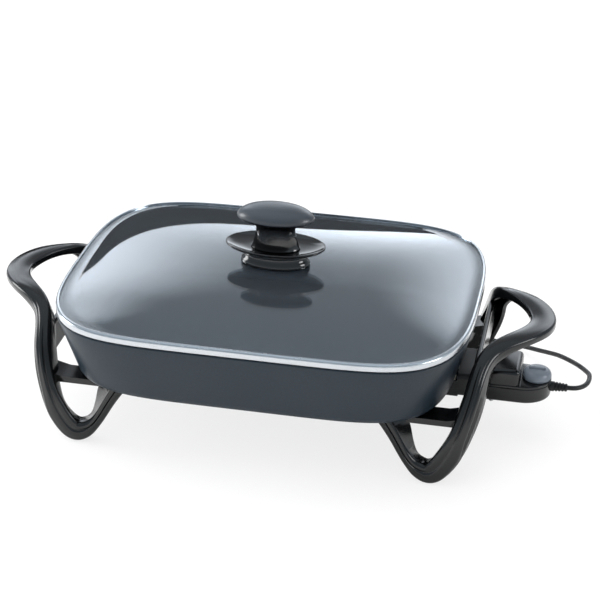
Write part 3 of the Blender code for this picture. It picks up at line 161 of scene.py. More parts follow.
def surface(name, metallic=0.0, ior=1.5, coat=0.0, coat_roughness=0.1, transmission=0.0):
    """A new material's tree and shader, with the numbers that hold all over it."""
    material = bpy.data.materials.new(name)
    material.use_nodes = True
    shader = material.node_tree.nodes["Principled BSDF"]
    shader.inputs["Metallic"].default_value = metallic
    shader.inputs["IOR"].default_value = ior
    shader.inputs["Coat Weight"].default_value = coat
    shader.inputs["Coat Roughness"].default_value = coat_roughness
    shader.inputs["Transmission Weight"].default_value = transmission
    return material, material.node_tree, shader


def grain(tree, size, detail=2.0, stretch=(1.0, 1.0, 1.0)):
    """Noise in the piece's own space whose patches are about that size across."""
    place = add(tree, "ShaderNodeTexCoord")
    drawn = add(tree, "ShaderNodeMapping", {"Vector": place.outputs["Object"], "Scale": stretch})
    noise = add(tree, "ShaderNodeTexNoise", {"Vector": drawn.outputs["Vector"], "Scale": 0.5 / size, "Detail": detail})
    return noise.outputs["Fac"]


def spread(tree, share, low, high, start=0.35, end=0.65):
    """A noise share stretched to run from low to high."""
    steps = {"Value": share, "From Min": start, "From Max": end, "To Min": low, "To Max": high}
    return add(tree, "ShaderNodeMapRange", steps).outputs["Result"]


def tinted(tree, share, base, dark, light):
    """The base colour, darker and lighter by the share."""
    low = (*[c * dark for c in base], 1.0)
    high = (*[min(c * light, 1.0) for c in base], 1.0)
    return add(tree, "ShaderNodeMix", {0: share, 6: low, 7: high}, data_type="RGBA").outputs[2]


def relief(tree, height, depth):
    """A normal from a height share and the depth of its relief in metres."""
    return add(tree, "ShaderNodeBump", {"Height": height, "Distance": depth, "Strength": 1.0}).outputs["Normal"]


def wire(tree, shader, base=None, roughness=None, normal=None):
    """Links a pattern's outputs to the shader, or sets its plain values."""
    for name, value in (("Base Color", base), ("Roughness", roughness), ("Normal", normal)):
        if isinstance(value, bpy.types.NodeSocket):
            tree.links.new(value, shader.inputs[name])
        elif value is not None:
            shader.inputs[name].default_value = value


def non_stick_coat(tints):
    """Baked PTFE coat sprayed on cast aluminium: a satin dark grey, broken by fine paler flecks."""
    material, tree, shader = surface("non_stick_coat_on_aluminium", ior=1.33, coat=0.1, coat_roughness=0.3)
    flecks = grain(tree, 0.9 * MM, 3.0)        # flecks are 0.3 mm on the real coat, drawn coarser so that they show
    clouds = grain(tree, 35 * MM, 1.0)
    peel = grain(tree, 1.6 * MM, 1.0)
    wire(
        tree, shader, tinted(tree, spread(tree, flecks, 0.0, 1.0, 0.45, 0.72), tints.coat, 0.93, 1.2),
        spread(tree, clouds, 0.36, 0.46), relief(tree, peel, 0.0015 * MM),
    )
    return material


def moulded_phenolic(tints):
    """Compression-moulded phenolic resin: deep black with a soft gloss and a faint flow in it."""
    material, tree, shader = surface("moulded_black_phenolic", ior=1.45)
    flow = grain(tree, 14 * MM, 2.0)
    peel = grain(tree, 1.1 * MM, 2.0)
    wire(
        tree, shader, tinted(tree, flow, tints.phenolic, 0.8, 1.3),
        spread(tree, flow, 0.15, 0.22), relief(tree, peel, 0.008 * MM),
    )
    return material


def polished_phenolic(tints):
    """Phenolic from a polished mould: piano black with near-mirror reflections."""
    material, tree, shader = surface("polished_black_phenolic", ior=1.5, coat=0.2, coat_roughness=0.06)
    flow = grain(tree, 9 * MM, 2.0)
    peel = grain(tree, 3 * MM, 1.0)
    wire(
        tree, shader, tinted(tree, flow, tints.knob, 0.8, 1.2),
        spread(tree, flow, 0.07, 0.13), relief(tree, peel, 0.006 * MM),
    )
    return material


def satin_phenolic_with_painted_lit_top(tints):
    """The grip's phenolic: a fine-blasted top that blurs the room's reflection, over a polished black neck; the top's
    lighter blue-grey colour is painted light, a painted reflection of the pale room on the lit top.
    """
    material, tree, shader = surface("satin_black_phenolic_painted_lit_top", ior=1.6)
    blast = grain(tree, 0.7 * MM, 2.0)
    flow = grain(tree, 11 * MM, 2.0)
    place = add(tree, "ShaderNodeTexCoord")
    way = add(tree, "ShaderNodeSeparateXYZ", {"Vector": place.outputs["Object"]})
    brim = GRIP_HIGH.z - 13 * MM
    # Painted light: above the brim the grip takes the lighter blue-grey, a painted reflection on its lit top, and below
    # it the black neck; only the rougher blasted finish of the top is real.
    top = spread(tree, way.outputs["Z"], 0.0, 1.0, brim - 0.6 * MM, brim + 0.6 * MM)
    tint = tinted(tree, flow, tints.grip, 0.9, 1.15)
    base = add(tree, "ShaderNodeMix", {0: top, 6: (*tints.knob, 1.0), 7: tint}, data_type="RGBA")
    wire(tree, shader, base.outputs[2], spread(tree, top, 0.1, 0.34, 0.0, 1.0), relief(tree, blast, 0.01 * MM))
    return material


def dial_plastic(tints):
    """Injection-moulded ABS with a spark-eroded texture: a flat charcoal that takes a soft shine."""
    material, tree, shader = surface("textured_charcoal_abs", ior=1.54)
    spark = grain(tree, 0.5 * MM, 3.0)
    wear = grain(tree, 6 * MM, 2.0)
    wire(
        tree, shader, tinted(tree, wear, tints.dial, 0.88, 1.15),
        spread(tree, wear, 0.3, 0.4), relief(tree, spark, 0.02 * MM),
    )
    return material


def polished_steel(tints):
    """Rolled and buffed stainless steel: bright, with hair lines along the band."""
    material, tree, shader = surface("buffed_stainless_steel", metallic=1.0)
    hairs = grain(tree, 0.6 * MM, 2.0, (0.06, 0.06, 1.0))     # buffing lines, 0.1 mm on the real band
    smudge = grain(tree, 18 * MM, 2.0)
    wire(
        tree, shader, tinted(tree, smudge, tints.steel, 0.95, 1.04),
        spread(tree, hairs, 0.2, 0.28), relief(tree, hairs, 0.001 * MM),
    )
    return material


def plated_steel(tints):
    """Zinc-plated steel: pale grey with cloudy spangles and a dull shine."""
    material, tree, shader = surface("zinc_plated_steel", metallic=1.0)
    spangle = grain(tree, 2.2 * MM, 2.0)
    pits = grain(tree, 0.5 * MM, 2.0)
    wire(
        tree, shader, tinted(tree, spangle, tints.plate, 0.82, 1.1),
        spread(tree, spangle, 0.28, 0.42), relief(tree, pits, 0.008 * MM),
    )
    return material


def black_sheet_steel(tints):
    """Pressed steel with a stoved black enamel: matt, with a light orange peel."""
    material, tree, shader = surface("black_enamelled_steel", ior=1.5)
    peel = grain(tree, 1.2 * MM, 2.0)
    heat = grain(tree, 16 * MM, 2.0)
    wire(
        tree, shader, tinted(tree, heat, tints.black_steel, 0.85, 1.3),
        spread(tree, heat, 0.42, 0.55), relief(tree, peel, 0.02 * MM),
    )
    return material


def element_sheath(tints):
    """Annealed steel sheath: grey, tinted straw and blue where heat has marked it."""
    material, tree, shader = surface("heat_tinted_steel_sheath", metallic=0.9)
    heat = grain(tree, 12 * MM, 3.0)
    scale = grain(tree, 0.8 * MM, 3.0)
    cool = (*linear("#5d6670"), 1.0)
    warm = add(tree, "ShaderNodeMix", {0: spread(tree, heat, 0.0, 1.0), 6: (*tints.sheath, 1.0), 7: cool}, data_type="RGBA")
    wire(tree, shader, warm.outputs[2], spread(tree, scale, 0.4, 0.58), relief(tree, scale, 0.015 * MM))
    return material


def fired_ceramic(tints):
    """Unglazed steatite: chalky cream with pinholes."""
    material, tree, shader = surface("unglazed_steatite", ior=1.55)
    cloud = grain(tree, 5 * MM, 2.0)
    pinholes = grain(tree, 0.4 * MM, 3.0)
    wire(
        tree, shader, tinted(tree, cloud, tints.ceramic, 0.92, 1.03),
        spread(tree, cloud, 0.55, 0.68), relief(tree, pinholes, 0.02 * MM),
    )
    return material


def spring_brass(tints):
    """Rolled brass: warm yellow with faint tarnish along the rolling lines."""
    material, tree, shader = surface("rolled_brass", metallic=1.0)
    lines = grain(tree, 0.5 * MM, 2.0, (0.1, 0.1, 1.0))
    tarnish = grain(tree, 4 * MM, 2.0)
    wire(
        tree, shader, tinted(tree, tarnish, tints.brass, 0.8, 1.08),
        spread(tree, lines, 0.2, 0.34), relief(tree, lines, 0.004 * MM),
    )
    return material


def soft_pvc(tints):
    """Extruded soft PVC: a dull black skin with a faint waxy sheen."""
    material, tree, shader = surface("soft_black_pvc", ior=1.4)
    skin = grain(tree, 0.6 * MM, 2.0)
    bloom = grain(tree, 7 * MM, 2.0)
    wire(
        tree, shader, tinted(tree, bloom, tints.rubber, 0.85, 1.2),
        spread(tree, bloom, 0.4, 0.52), relief(tree, skin, 0.02 * MM),
    )
    return material


def pilot_lens(tints):
    """Moulded red polycarbonate: clear and glossy, deep red where it is thick."""
    material, tree, shader = surface("clear_red_polycarbonate", ior=1.58, transmission=0.35)
    ripple = grain(tree, 1.2 * MM, 1.0)
    wire(
        tree, shader, tinted(tree, ripple, tints.lens, 0.85, 1.1),
        spread(tree, ripple, 0.06, 0.12), relief(tree, ripple, 0.01 * MM),
    )
    return material


def tempered_glass(tints):
    """Pressed and tempered soda-lime glass: clear with a faint film of haze, and slightly wavy from its pressing."""
    material, tree, shader = surface("tempered_soda_lime_glass", ior=1.52, transmission=0.975)
    wave = grain(tree, 45 * MM, 1.0)
    haze = grain(tree, 20 * MM, 3.0)
    wire(
        tree, shader, tinted(tree, haze, tints.glass, 0.97, 1.0),
        spread(tree, haze, 0.0, 0.03), relief(tree, wave, 0.03 * MM),
    )
    return material


FINISHES = {
    "non_stick_coat": non_stick_coat,
    "black_phenolic": moulded_phenolic,
    "gloss_black_knob": polished_phenolic,
    "knob_satin": satin_phenolic_with_painted_lit_top,
    "dial_black": dial_plastic,
    "polished_steel": polished_steel,
    "plated_sheet_steel": plated_steel,
    "black_sheet_steel": black_sheet_steel,
    "element_sheath": element_sheath,
    "white_ceramic": fired_ceramic,
    "brass_contact": spring_brass,
    "black_rubber": soft_pvc,
    "red_lens": pilot_lens,
    "tempered_glass": tempered_glass,
}
made = {}


def finish_of(name):
    """The finish of that name, made once."""
    if name not in made:
        made[name] = FINISHES[name](bpy.context.scene.skillet_colours)
    return made[name]


def oval(half_x, half_y, z, count, power_x=2.0, power_y=2.0):
    """Evenly spaced points round an oval whose ends and sides are as square as its powers."""
    steps = count * 12
    fine = []
    for k in range(steps + 1):
        turn = math.tau * k / steps
        c, s = math.cos(turn), math.sin(turn)
        x = math.copysign(half_x * abs(c) ** (2 / power_x), c)
        y = math.copysign(half_y * abs(s) ** (2 / power_y), s)
        fine.append(Vector((x, y, z)))
    lengths = [0.0]
    for here, there in zip(fine, fine[1:]):
        lengths.append(lengths[-1] + (there - here).length)
    points, at = [], 0
    for k in range(count):
        wanted = lengths[-1] * k / count
        while lengths[at + 1] < wanted:
            at += 1
        share = (wanted - lengths[at]) / (lengths[at + 1] - lengths[at])
        points.append(fine[at].lerp(fine[at + 1], share))
    return points


def pan_outline(inset, z):
    sizes = bpy.context.scene.skillet_sizes
    return oval(PAN_HIGH.x - inset, PAN_HIGH.y - inset, z, sizes.plan_count, sizes.end_bow, sizes.side_bow)


def draw_out(shell, ring):
    """Extrudes a ring of vertices, and gives the new ring in the same order."""
    edges = [shell.edges.get(pair) for pair in zip(ring, ring[1:] + ring[:1])]
    grown = bmesh.ops.extrude_edge_only(shell, edges=edges)["geom"]
    fresh = {part for part in grown if isinstance(part, bmesh.types.BMVert)}
    partner = {}
    for vert in ring:
        for edge in vert.link_edges:
            if edge.other_vert(vert) in fresh:
                partner[vert] = edge.other_vert(vert)
    return [partner[vert] for vert in ring]


def keep(name, shell, sharp=40):
    """Makes a finished bmesh an object with smooth sides."""
    bmesh.ops.recalc_face_normals(shell, faces=shell.faces)
    if shell.calc_volume(signed=True) < 0:
        bmesh.ops.reverse_faces(shell, faces=shell.faces)
    mesh = bpy.data.meshes.new(name)
    shell.to_mesh(mesh)
    shell.free()
    mesh.shade_smooth()
    if sharp:
        mesh.set_sharp_from_angle(angle=math.radians(sharp))
    piece = bpy.data.objects.new(name, mesh)
    bpy.context.scene.collection.objects.link(piece)
    return piece


def skin(name, rings, closed=False, sharp=40):
    """A circle of vertices laid on the first ring and drawn out over the others."""
    shell = bmesh.new()
    first = list(bmesh.ops.create_circle(shell, cap_ends=False, segments=len(rings[0]), radius=1.0)["verts"])
    ring = first
    for k, points in enumerate(rings):
        if k:
            ring = draw_out(shell, ring)
        for vert, point in zip(ring, points):
            vert.co = point
    if closed:
        ring = draw_out(shell, ring)
        for vert, point in zip(ring, rings[0]):
            vert.co = point
        bmesh.ops.remove_doubles(shell, verts=shell.verts, dist=0.001 * MM)
    else:
        bmesh.ops.holes_fill(shell, edges=[edge for edge in shell.edges if edge.is_boundary], sides=0)
    return keep(name, shell, sharp)


def turned(name, profile, base, along="Z", steps=64, sharp=40):
    """A closed profile of (radius, height) points spun round its axis."""
    shell = bmesh.new()
    corners = [shell.verts.new((radius, 0.0, height)) for radius, height in profile]
    edges = [shell.edges.new(pair) for pair in zip(corners, corners[1:])]
    bmesh.ops.spin(
        shell, geom=corners + edges, cent=(0, 0, 0), axis=(0, 0, 1), angle=math.tau, steps=steps, use_merge=True
    )
    bmesh.ops.remove_doubles(shell, verts=shell.verts, dist=0.001 * MM)
    if along == "X":
        bmesh.ops.rotate(shell, verts=shell.verts, cent=(0, 0, 0), matrix=Matrix.Rotation(math.pi / 2, 3, "Y"))
    bmesh.ops.translate(shell, verts=shell.verts, vec=Vector(base))
    return keep(name, shell, sharp)


def block(name, low, high, edge=0.0, segments=4):
    """A box between two corners with rounded edges."""
    low, high = Vector(low), Vector(high)
    shell = bmesh.new()
    bmesh.ops.create_cube(shell, size=1.0)
    bmesh.ops.scale(shell, vec=high - low, verts=shell.verts)
    if edge:
        bmesh.ops.bevel(
            shell, geom=shell.edges[:], offset=edge, affect="EDGES", segments=segments, profile=0.5, material=-1
        )
    bmesh.ops.translate(shell, verts=shell.verts, vec=(low + high) / 2)
    return keep(name, shell)


def settle(piece, sharp=40):
    """Makes a piece's modifiers part of its mesh."""
    shaped = piece.evaluated_get(bpy.context.evaluated_depsgraph_get())
    mesh = bpy.data.meshes.new_from_object(shaped)
    piece.modifiers.clear()
    piece.data = mesh
    mesh.shade_smooth()
    mesh.set_sharp_from_angle(angle=math.radians(sharp))
    return piece


def combine(piece, shape, operation):
    """Cuts a shape out of a piece or joins it on, and clears the shape away."""
    boolean = piece.modifiers.new(operation.lower(), "BOOLEAN")
    boolean.operation = operation
    boolean.solver = "EXACT"
    boolean.object = shape
    settle(piece)
    bpy.data.objects.remove(shape, do_unlink=True)
    return piece


def soften(piece, levels=2):
    """Adds a subdivision surface with the same levels in view and render."""
    smooth = piece.modifiers.new("smooth", "SUBSURF")
    smooth.levels = smooth.render_levels = levels
    return piece


def show(piece, finish, body, nodes):
    """Gives a finished piece its material, its body and the CAD nodes that it stands for."""
    piece.data.materials.clear()
    piece.data.materials.append(finish_of(finish))
    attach(piece, body)
    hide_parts(*nodes)


def smooth_way(rows, samples):
    """Values along a smooth curve through the rows, with equal steps between them."""
    before = [[2 * a - b for a, b in zip(rows[0], rows[1])], *rows[:-1]]
    after = [*rows[1:], [2 * a - b for a, b in zip(rows[-1], rows[-2])]]
    way = []
    for k in range(len(rows) - 1):
        for step in range(samples):
            t = step / samples
            way.append([
                here * (2 * t**3 - 3 * t**2 + 1)
                + (there - last) / 2 * (t**3 - 2 * t**2 + t)
                + there * (3 * t**2 - 2 * t**3)
                + (following - here) / 2 * (t**3 - t**2)
                for last, here, there, following in zip(before[k], rows[k], rows[k + 1], after[k + 1])
            ])
    way.append(list(rows[-1]))
    return way


def quarter(middle_a, middle_b, radius, start, count=6):
    """A quarter round as (a, b) points from a start angle in degrees, turning forward."""
    turns = [math.radians(start + 90 * k / count) for k in range(count + 1)]
    return [(middle_a + radius * math.cos(turn), middle_b + radius * math.sin(turn)) for turn in turns]


def foot_arc(inset, floor, radius):
    """The round from the wall down to the base, as (inset, height) pairs."""
    turns = [math.radians(15 + 7.5 * k) for k in range(11)]
    return [
        (inset + radius * (math.cos(turns[0]) - math.cos(turn)), floor + radius * (1 - math.sin(turn)))
        for turn in turns
    ]


class SKILLET_OT_studio(bpy.types.Operator):
    """Sets up the floor, the lamps, the room and the camera"""

    bl_idname = "skillet.studio"
    bl_label = "Studio"

    def execute(self, context):
        studio = context.scene.skillet_studio
        context.scene.view_settings.view_transform = "Standard"
        self.make_camera(context, studio)
        self.make_room(context, studio)
        self.make_floor(context)
        self.make_screen(studio)
        self.make_flag()
        above = self.make_lamp(context, "softbox_above", studio.key, (-0.4, 0.3, 2.2), (2.2, 2.2))
        above.visible_glossy = above.visible_transmission = False
        self.make_lamp(context, "softbox_left", studio.left, (-2.3, 0.1, 0.75), (0.8, 1.1))
        right = self.make_lamp(context, "softbox_right", studio.right, (2.2, -0.5, 1.1), (0.9, 0.9))
        right.visible_diffuse = False
        return {"FINISHED"}

    def make_camera(self, context, studio):
        aim = Vector((25.3, -2.0, 120.3)) * MM
        turn, rise = studio.azimuth, studio.elevation
        back = Vector((math.sin(turn) * math.cos(rise), -math.cos(turn) * math.cos(rise), math.sin(rise)))
        level = Vector((math.cos(turn), math.sin(turn), 0.0))
        up = back.cross(level)
        right = level * math.cos(studio.roll) + up * math.sin(studio.roll)
        top = up * math.cos(studio.roll) - level * math.sin(studio.roll)
        data = bpy.data.cameras.new("camera")
        data.lens = studio.lens
        data.sensor_width = 36.0
        data.clip_end = 50.0
        camera = bpy.data.objects.new("camera", data)
        placed = Matrix((right, top, back)).transposed().to_4x4()
        placed.translation = aim + back * studio.distance
        camera.matrix_world = placed
        context.scene.collection.objects.link(camera)
        context.scene.camera = camera

    def make_room(self, context, studio):
        """A room that the camera sees white, and shiny pieces see pale at the walls and overhead, darker between."""
        world = bpy.data.worlds.new("pale_room")
        world.use_nodes = True
        tree = world.node_tree
        tree.nodes.clear()
        place = add(tree, "ShaderNodeTexCoord")
        way = add(tree, "ShaderNodeSeparateXYZ", {"Vector": place.outputs["Generated"]})
        low = add(
            tree, "ShaderNodeMapRange",
            {"Value": way.outputs["Z"], "From Min": 0.2, "From Max": 0.5, "To Min": 0.8, "To Max": 0.6},
            interpolation_type="SMOOTHSTEP",
        )
        high = add(
            tree, "ShaderNodeMapRange",
            {"Value": way.outputs["Z"], "From Min": 0.6, "From Max": 0.9, "To Min": 0.0, "To Max": 0.4},
            interpolation_type="SMOOTHSTEP",
        )
        height = add(tree, "ShaderNodeMath", {0: low.outputs[0], 1: high.outputs[0]}, operation="ADD")
        white = (1.0, 1.0, 1.0, 1.0)
        side = add(
            tree, "ShaderNodeMapRange",
            {"Value": way.outputs["X"], "From Min": -1.0, "From Max": 1.0, "To Min": 1.5 * studio.room, "To Max": 0.3 * studio.room},
        )
        matt = add(tree, "ShaderNodeBackground", {"Color": white, "Strength": side.outputs[0]})
        shine = add(tree, "ShaderNodeBackground", {"Color": (0.78, 0.9, 1.0, 1.0), "Strength": height.outputs[0]})
        seen = add(tree, "ShaderNodeBackground", {"Color": white, "Strength": 1.0})
        path = add(tree, "ShaderNodeLightPath")
        clear = add(
            tree, "ShaderNodeMath",
            {0: path.outputs["Is Glossy Ray"], 1: path.outputs["Is Transmission Ray"]}, operation="MAXIMUM",
        )
        glossy = add(tree, "ShaderNodeMixShader", {0: clear.outputs[0], 1: matt.outputs[0], 2: shine.outputs[0]})
        whole = add(tree, "ShaderNodeMixShader", {0: path.outputs["Is Camera Ray"], 1: glossy.outputs[0], 2: seen.outputs[0]})
        add(tree, "ShaderNodeOutputWorld", {"Surface": whole.outputs[0]})
        context.scene.world = world

    def make_floor(self, context):
        """Matt white board that keeps the object's shadow and stays near white for the camera."""
        shell = bmesh.new()
        bmesh.ops.create_circle(shell, cap_ends=True, segments=96, radius=6.0)
        bmesh.ops.translate(shell, verts=shell.verts, vec=(0, 0, -0.05 * MM))
        floor = keep("studio_floor", shell)
        material, tree, shader = surface("matt_white_board")
        dust = grain(tree, 60 * MM, 2.0)
        wire(tree, shader, tinted(tree, dust, context.scene.skillet_colours.floor, 0.99, 1.0), spread(tree, dust, 0.85, 0.9))
        path = add(tree, "ShaderNodeLightPath")
        share = add(tree, "ShaderNodeMath", {0: path.outputs["Is Camera Ray"], 1: context.scene.skillet_studio.floor_glow}, operation="MULTIPLY")
        glow = add(tree, "ShaderNodeEmission", {"Color": (1, 1, 1, 1), "Strength": 1.0})
        mixed = add(tree, "ShaderNodeMixShader", {0: share.outputs[0], 1: shader.outputs[0], 2: glow.outputs[0]})
        tree.links.new(mixed.outputs[0], tree.nodes["Material Output"].inputs["Surface"])
        floor.data.materials.append(material)

    def make_card(self, name, outline, y, material):
        """A flat upright card that only shows in what is shiny, from its outline of (x, z) points."""
        card = skin(name, [[Vector((x, y + back, z)) for x, z in outline] for back in (0.0, 0.01)])
        card.data.materials.append(material)
        card.visible_camera = card.visible_diffuse = card.visible_shadow = False

    def make_screen(self, studio):
        """Diffusing cloth lit from behind: bright along its foot and at four lamps, and fading between."""
        material, tree, shader = surface("lit_diffusing_cloth")
        place = add(tree, "ShaderNodeTexCoord")
        way = add(tree, "ShaderNodeSeparateXYZ", {"Vector": place.outputs["Object"]})
        glow = add(
            tree, "ShaderNodeMapRange",
            {"Value": way.outputs["Z"], "From Min": 0.75, "From Max": 1.7, "To Min": studio.screen, "To Max": 0.6},
            interpolation_type="SMOOTHSTEP",
        )
        lamps = (
            ((-2.2, 2.6, 2.5), 1.05, 3.2), ((-1.75, 2.6, 1.25), 1.45, 2.9),
            ((-0.2, 2.6, 0.6), 1.2, 2.6), ((0.85, 2.6, 1.5), 1.0, 3.6),
        )
        for spot, reach, strength in lamps:
            away = add(tree, "ShaderNodeVectorMath", {0: place.outputs["Object"], 1: spot}, operation="DISTANCE")
            lamp = add(
                tree, "ShaderNodeMapRange",
                {"Value": away.outputs["Value"], "From Min": 0.0, "From Max": reach, "To Min": strength, "To Max": 0.0},
                interpolation_type="SMOOTHSTEP",
            )
            glow = add(tree, "ShaderNodeMath", {0: glow.outputs[0], 1: lamp.outputs[0]}, operation="ADD")
        wire(tree, shader, (0, 0, 0, 1), 0.9)
        shader.inputs["Emission Color"].default_value = (0.87, 0.93, 1.0, 1.0)
        tree.links.new(glow.outputs[0], shader.inputs["Emission Strength"])
        self.make_card("lit_screen", ((-4.2, 0.3), (2.2, 0.3), (2.2, 6.5), (-4.2, 6.5)), 2.6, material)

    def make_flag(self):
        """Black felt behind the object: the dark band at the back of the lid mirrors it."""
        material, tree, shader = surface("black_felt")
        wire(tree, shader, (0.01, 0.01, 0.01, 1), 1.0)
        outline = (
            (-2.6, 0.0), (1.4, 0.0), (1.4, 0.2), (0.1, 0.24), (-0.3, 0.42), (-0.55, 0.52),
            (-0.78, 0.6), (-0.94, 0.65), (-1.06, 0.58), (-1.25, 0.25), (-2.6, 0.2),
        )
        self.make_card("black_flag", outline, 1.3, material)

    def make_lamp(self, context, name, power, spot, size, aim=(0, 0, 0.1)):
        data = bpy.data.lights.new(name, "AREA")
        data.energy = power
        data.shape = "RECTANGLE"
        data.size, data.size_y = size
        lamp = bpy.data.objects.new(name, data)
        lamp.location = spot
        lamp.rotation_euler = (Vector(aim) - Vector(spot)).to_track_quat("-Z", "Y").to_euler()
        context.scene.collection.objects.link(lamp)
        return lamp


# The cord's free way in millimetres, from the strain relief round to the coil, and from the coil to the plug.
CORD_ROUTE = (
    (293.02, 0.0, 53.5), (297.4, 0.2, 53.5), (301.8, 1.7, 53.3), (305.9, 4.9, 53.0), (309.3, 9.9, 52.4),
    (311.7, 16.8, 51.6), (312.8, 25.0, 50.6), (312.8, 33.5, 49.4), (311.5, 42.0, 47.9), (305.2, 57.7, 44.0),
    (298.7, 70.8, 40.5), (288.9, 88.6, 35.0), (277.7, 108.1, 28.0), (267.9, 122.8, 21.5), (256.5, 138.0, 14.6),
    (242.5, 152.6, 8.6), (224.5, 163.8, 4.3), (206.0, 169.6, 2.8), (188.0, 173.4, 2.7), (171.0, 178.0, 2.8),
    (156.5, 183.4, 3.4),
)
TAIL_ROUTE = ((106.4, 190.7, 9.0), (93.4, 186.3, 6.4), (81.4, 180.5, 4.2), (70.4, 174.1, 4.2), (60.9, 168.3, 6.0))
COIL_MIDDLE = Vector((125.4, 163.1, 3.8)) * MM
COIL_OUTER = 30.95 * MM
COIL_TURNS = 4.1
COIL_PITCH = 5.4 * MM
PLUG_BASE = Vector((49.4, 161.7, 7.8)) * MM
PLUG_TURN = math.radians(211)
PLUG_LENGTH = 30 * MM


def coil_way(count):
    """The coil's middle line: it winds in along the floor, climbs, and winds out on top."""
    half = COIL_TURNS / 2
    steps = round(COIL_TURNS * count)
    way = []
    for k in range(steps + 1):
        turns = COIL_TURNS * k / steps
        radius = COIL_OUTER - COIL_PITCH * (half - abs(turns - half))
        climb = min(max((turns - half) * 2 + 0.5, 0.0), 1.0)
        angle = math.radians(64) + math.tau * turns
        way.append(COIL_MIDDLE + Vector((radius * math.cos(angle), radius * math.sin(angle), COIL_PITCH * climb)))
    return way


class SKILLET_OT_cord(bpy.types.Operator):
    """Makes the cord with its strain relief, tie and plug"""

    bl_idname = "skillet.cord"
    bl_label = "Cord and plug"

    def execute(self, context):
        diameter = context.scene.skillet_sizes.cord
        coil = coil_way(24)
        start_way = (coil[0] - coil[1]).normalized()
        end_way = (coil[-1] - coil[-2]).normalized()
        start_way.z = end_way.z = 0.0
        heading = Vector((math.cos(PLUG_TURN), math.sin(PLUG_TURN), 0.0))
        route = [Vector(point) * MM for point in CORD_ROUTE] + [coil[0] + start_way * diameter]
        tail = [coil[-1] + end_way * diameter] + [Vector(point) * MM for point in TAIL_ROUTE]
        tail += [PLUG_BASE - heading * diameter, PLUG_BASE + heading * MM]
        way = [Vector(point) for point in smooth_way(route, 3)] + coil + [Vector(point) for point in smooth_way(tail, 3)]
        cord = self.make_cord(context, way, diameter)
        relief = self.make_relief()
        tie = self.make_tie()
        plug = self.make_plug(heading)
        return {"FINISHED"}

    def make_cord(self, context, way, diameter):
        data = bpy.data.curves.new("cord_line", "CURVE")
        data.dimensions = "3D"
        data.bevel_depth = diameter / 2
        data.bevel_resolution = 6
        data.use_fill_caps = True
        spline = data.splines.new("POLY")
        spline.points.add(len(way) - 1)
        for spot, point in zip(spline.points, way):
            spot.co = (*point, 1.0)
        spline.use_smooth = True
        cord = bpy.data.objects.new("cord_line", data)
        context.scene.collection.objects.link(cord)
        show(cord, "black_rubber", "heat_control", ["cord", "cord_coil", "cord_end"])
        return cord

    def make_relief(self):
        """A tapered moulding with ring grooves that let it bend."""
        low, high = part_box("strain_relief")
        start, reach = low.x, high.x - low.x
        profile = [(0.0, reach), (3.1 * MM, reach), (3.5 * MM, reach - 0.4 * MM)]
        zone = 10.4 * MM
        ribs = 5
        pitch = (reach - zone) / ribs
        for k in range(ribs):
            top = reach - k * pitch
            radius = (3.6 + 1.3 * (k + 1) / ribs) * MM
            for along, in_by in ((0.14, 0.12), (0.3, 0.0), (0.62, 0.0), (0.76, 0.14), (0.84, 0.7), (0.96, 0.7)):
                if k < ribs - 1 or along < 0.7:
                    profile.append((radius - in_by * MM, top - pitch * along))
        profile += [(4.9 * MM, 0.0), (0.0, 0.0)]
        relief = turned("strain_relief_sleeve", profile, (start, 0.0, 53.5 * MM), "X")
        show(relief, "black_rubber", "heat_control", ["strain_relief"])
        return relief

    def make_tie(self):
        """A flat rubber strap once round the wound turns."""
        inner = COIL_OUTER - COIL_PITCH * COIL_TURNS / 2
        half = (COIL_OUTER - inner) / 2 + 3 * MM
        low, high = COIL_MIDDLE.z - 2.7 * MM, COIL_MIDDLE.z + COIL_PITCH + 2.7 * MM
        middle = (COIL_OUTER + inner) / 2
        turn = Matrix.Rotation(math.radians(-60), 3, "Z")
        centre = Vector((COIL_MIDDLE.x, COIL_MIDDLE.y, 0.0))
        rings = []
        for along, wall in ((-1, 0.0), (-1, 0.8), (-0.9, 0.8), (0.9, 0.8), (1, 0.8), (1, 0.0)):
            grow = wall * MM
            points = []
            corners = ((half, high, 0), (-half, high, 90), (-half, low, 180), (half, low, 270))
            for across, z, start in corners:
                inset_a, inset_z = math.copysign(1.6 * MM, across), (1.6 if z == high else -1.6) * MM
                points += [
                    (middle + a, b) for a, b in quarter(across - inset_a, z - inset_z, 1.6 * MM + grow, start, 4)
                ]
            rings.append([centre + turn @ Vector((a, along * 4.5 * MM, z)) for a, z in points])
        tie = skin("cord_tie", rings, closed=True)
        show(tie, "black_rubber", "heat_control", ["coil_tie"])
        return tie

    def make_plug(self, heading):
        """A moulded two-blade plug with a waisted grip, lying flat."""
        rows = (
            (0.0, 3.9, 3.9, 2.0), (0.6, 4.2, 4.2, 2.0), (6.0, 5.0, 4.6, 2.0), (13.5, 10.0, 6.4, 3.0),
            (17.0, 11.2, 6.6, 3.4), (21.0, 12.4, 7.4, 4.0), (28.5, 12.4, 7.4, 4.0), (29.6, 12.2, 7.2, 4.0),
            (30.0, 11.6, 6.8, 4.0),
        )
        side = Vector((-heading.y, heading.x, 0.0))
        rings = []
        for along, wide, high, power in smooth_way(rows, 3):
            flat = oval(wide * MM, high * MM, 0.0, 48, power, power)
            rings.append([PLUG_BASE + heading * along * MM + side * p.x + Vector((0, 0, p.y)) for p in flat])
        plug = skin("plug_moulding", rings)
        place = Matrix.Translation(PLUG_BASE + heading * PLUG_LENGTH) @ Matrix.Rotation(PLUG_TURN, 4, "Z")
        for way in (-1, 1):
            slot = block("blade_slot", (-5.3 * MM, -1.05 * MM, -3.45 * MM), (18 * MM, 1.05 * MM, 3.45 * MM))
            slot.data.transform(place @ Matrix.Translation((0.0, way * 6.35 * MM, 0.0)))
            combine(plug, slot, "DIFFERENCE")
        show(plug, "black_rubber", "heat_control", ["plug_body"])
        return plug


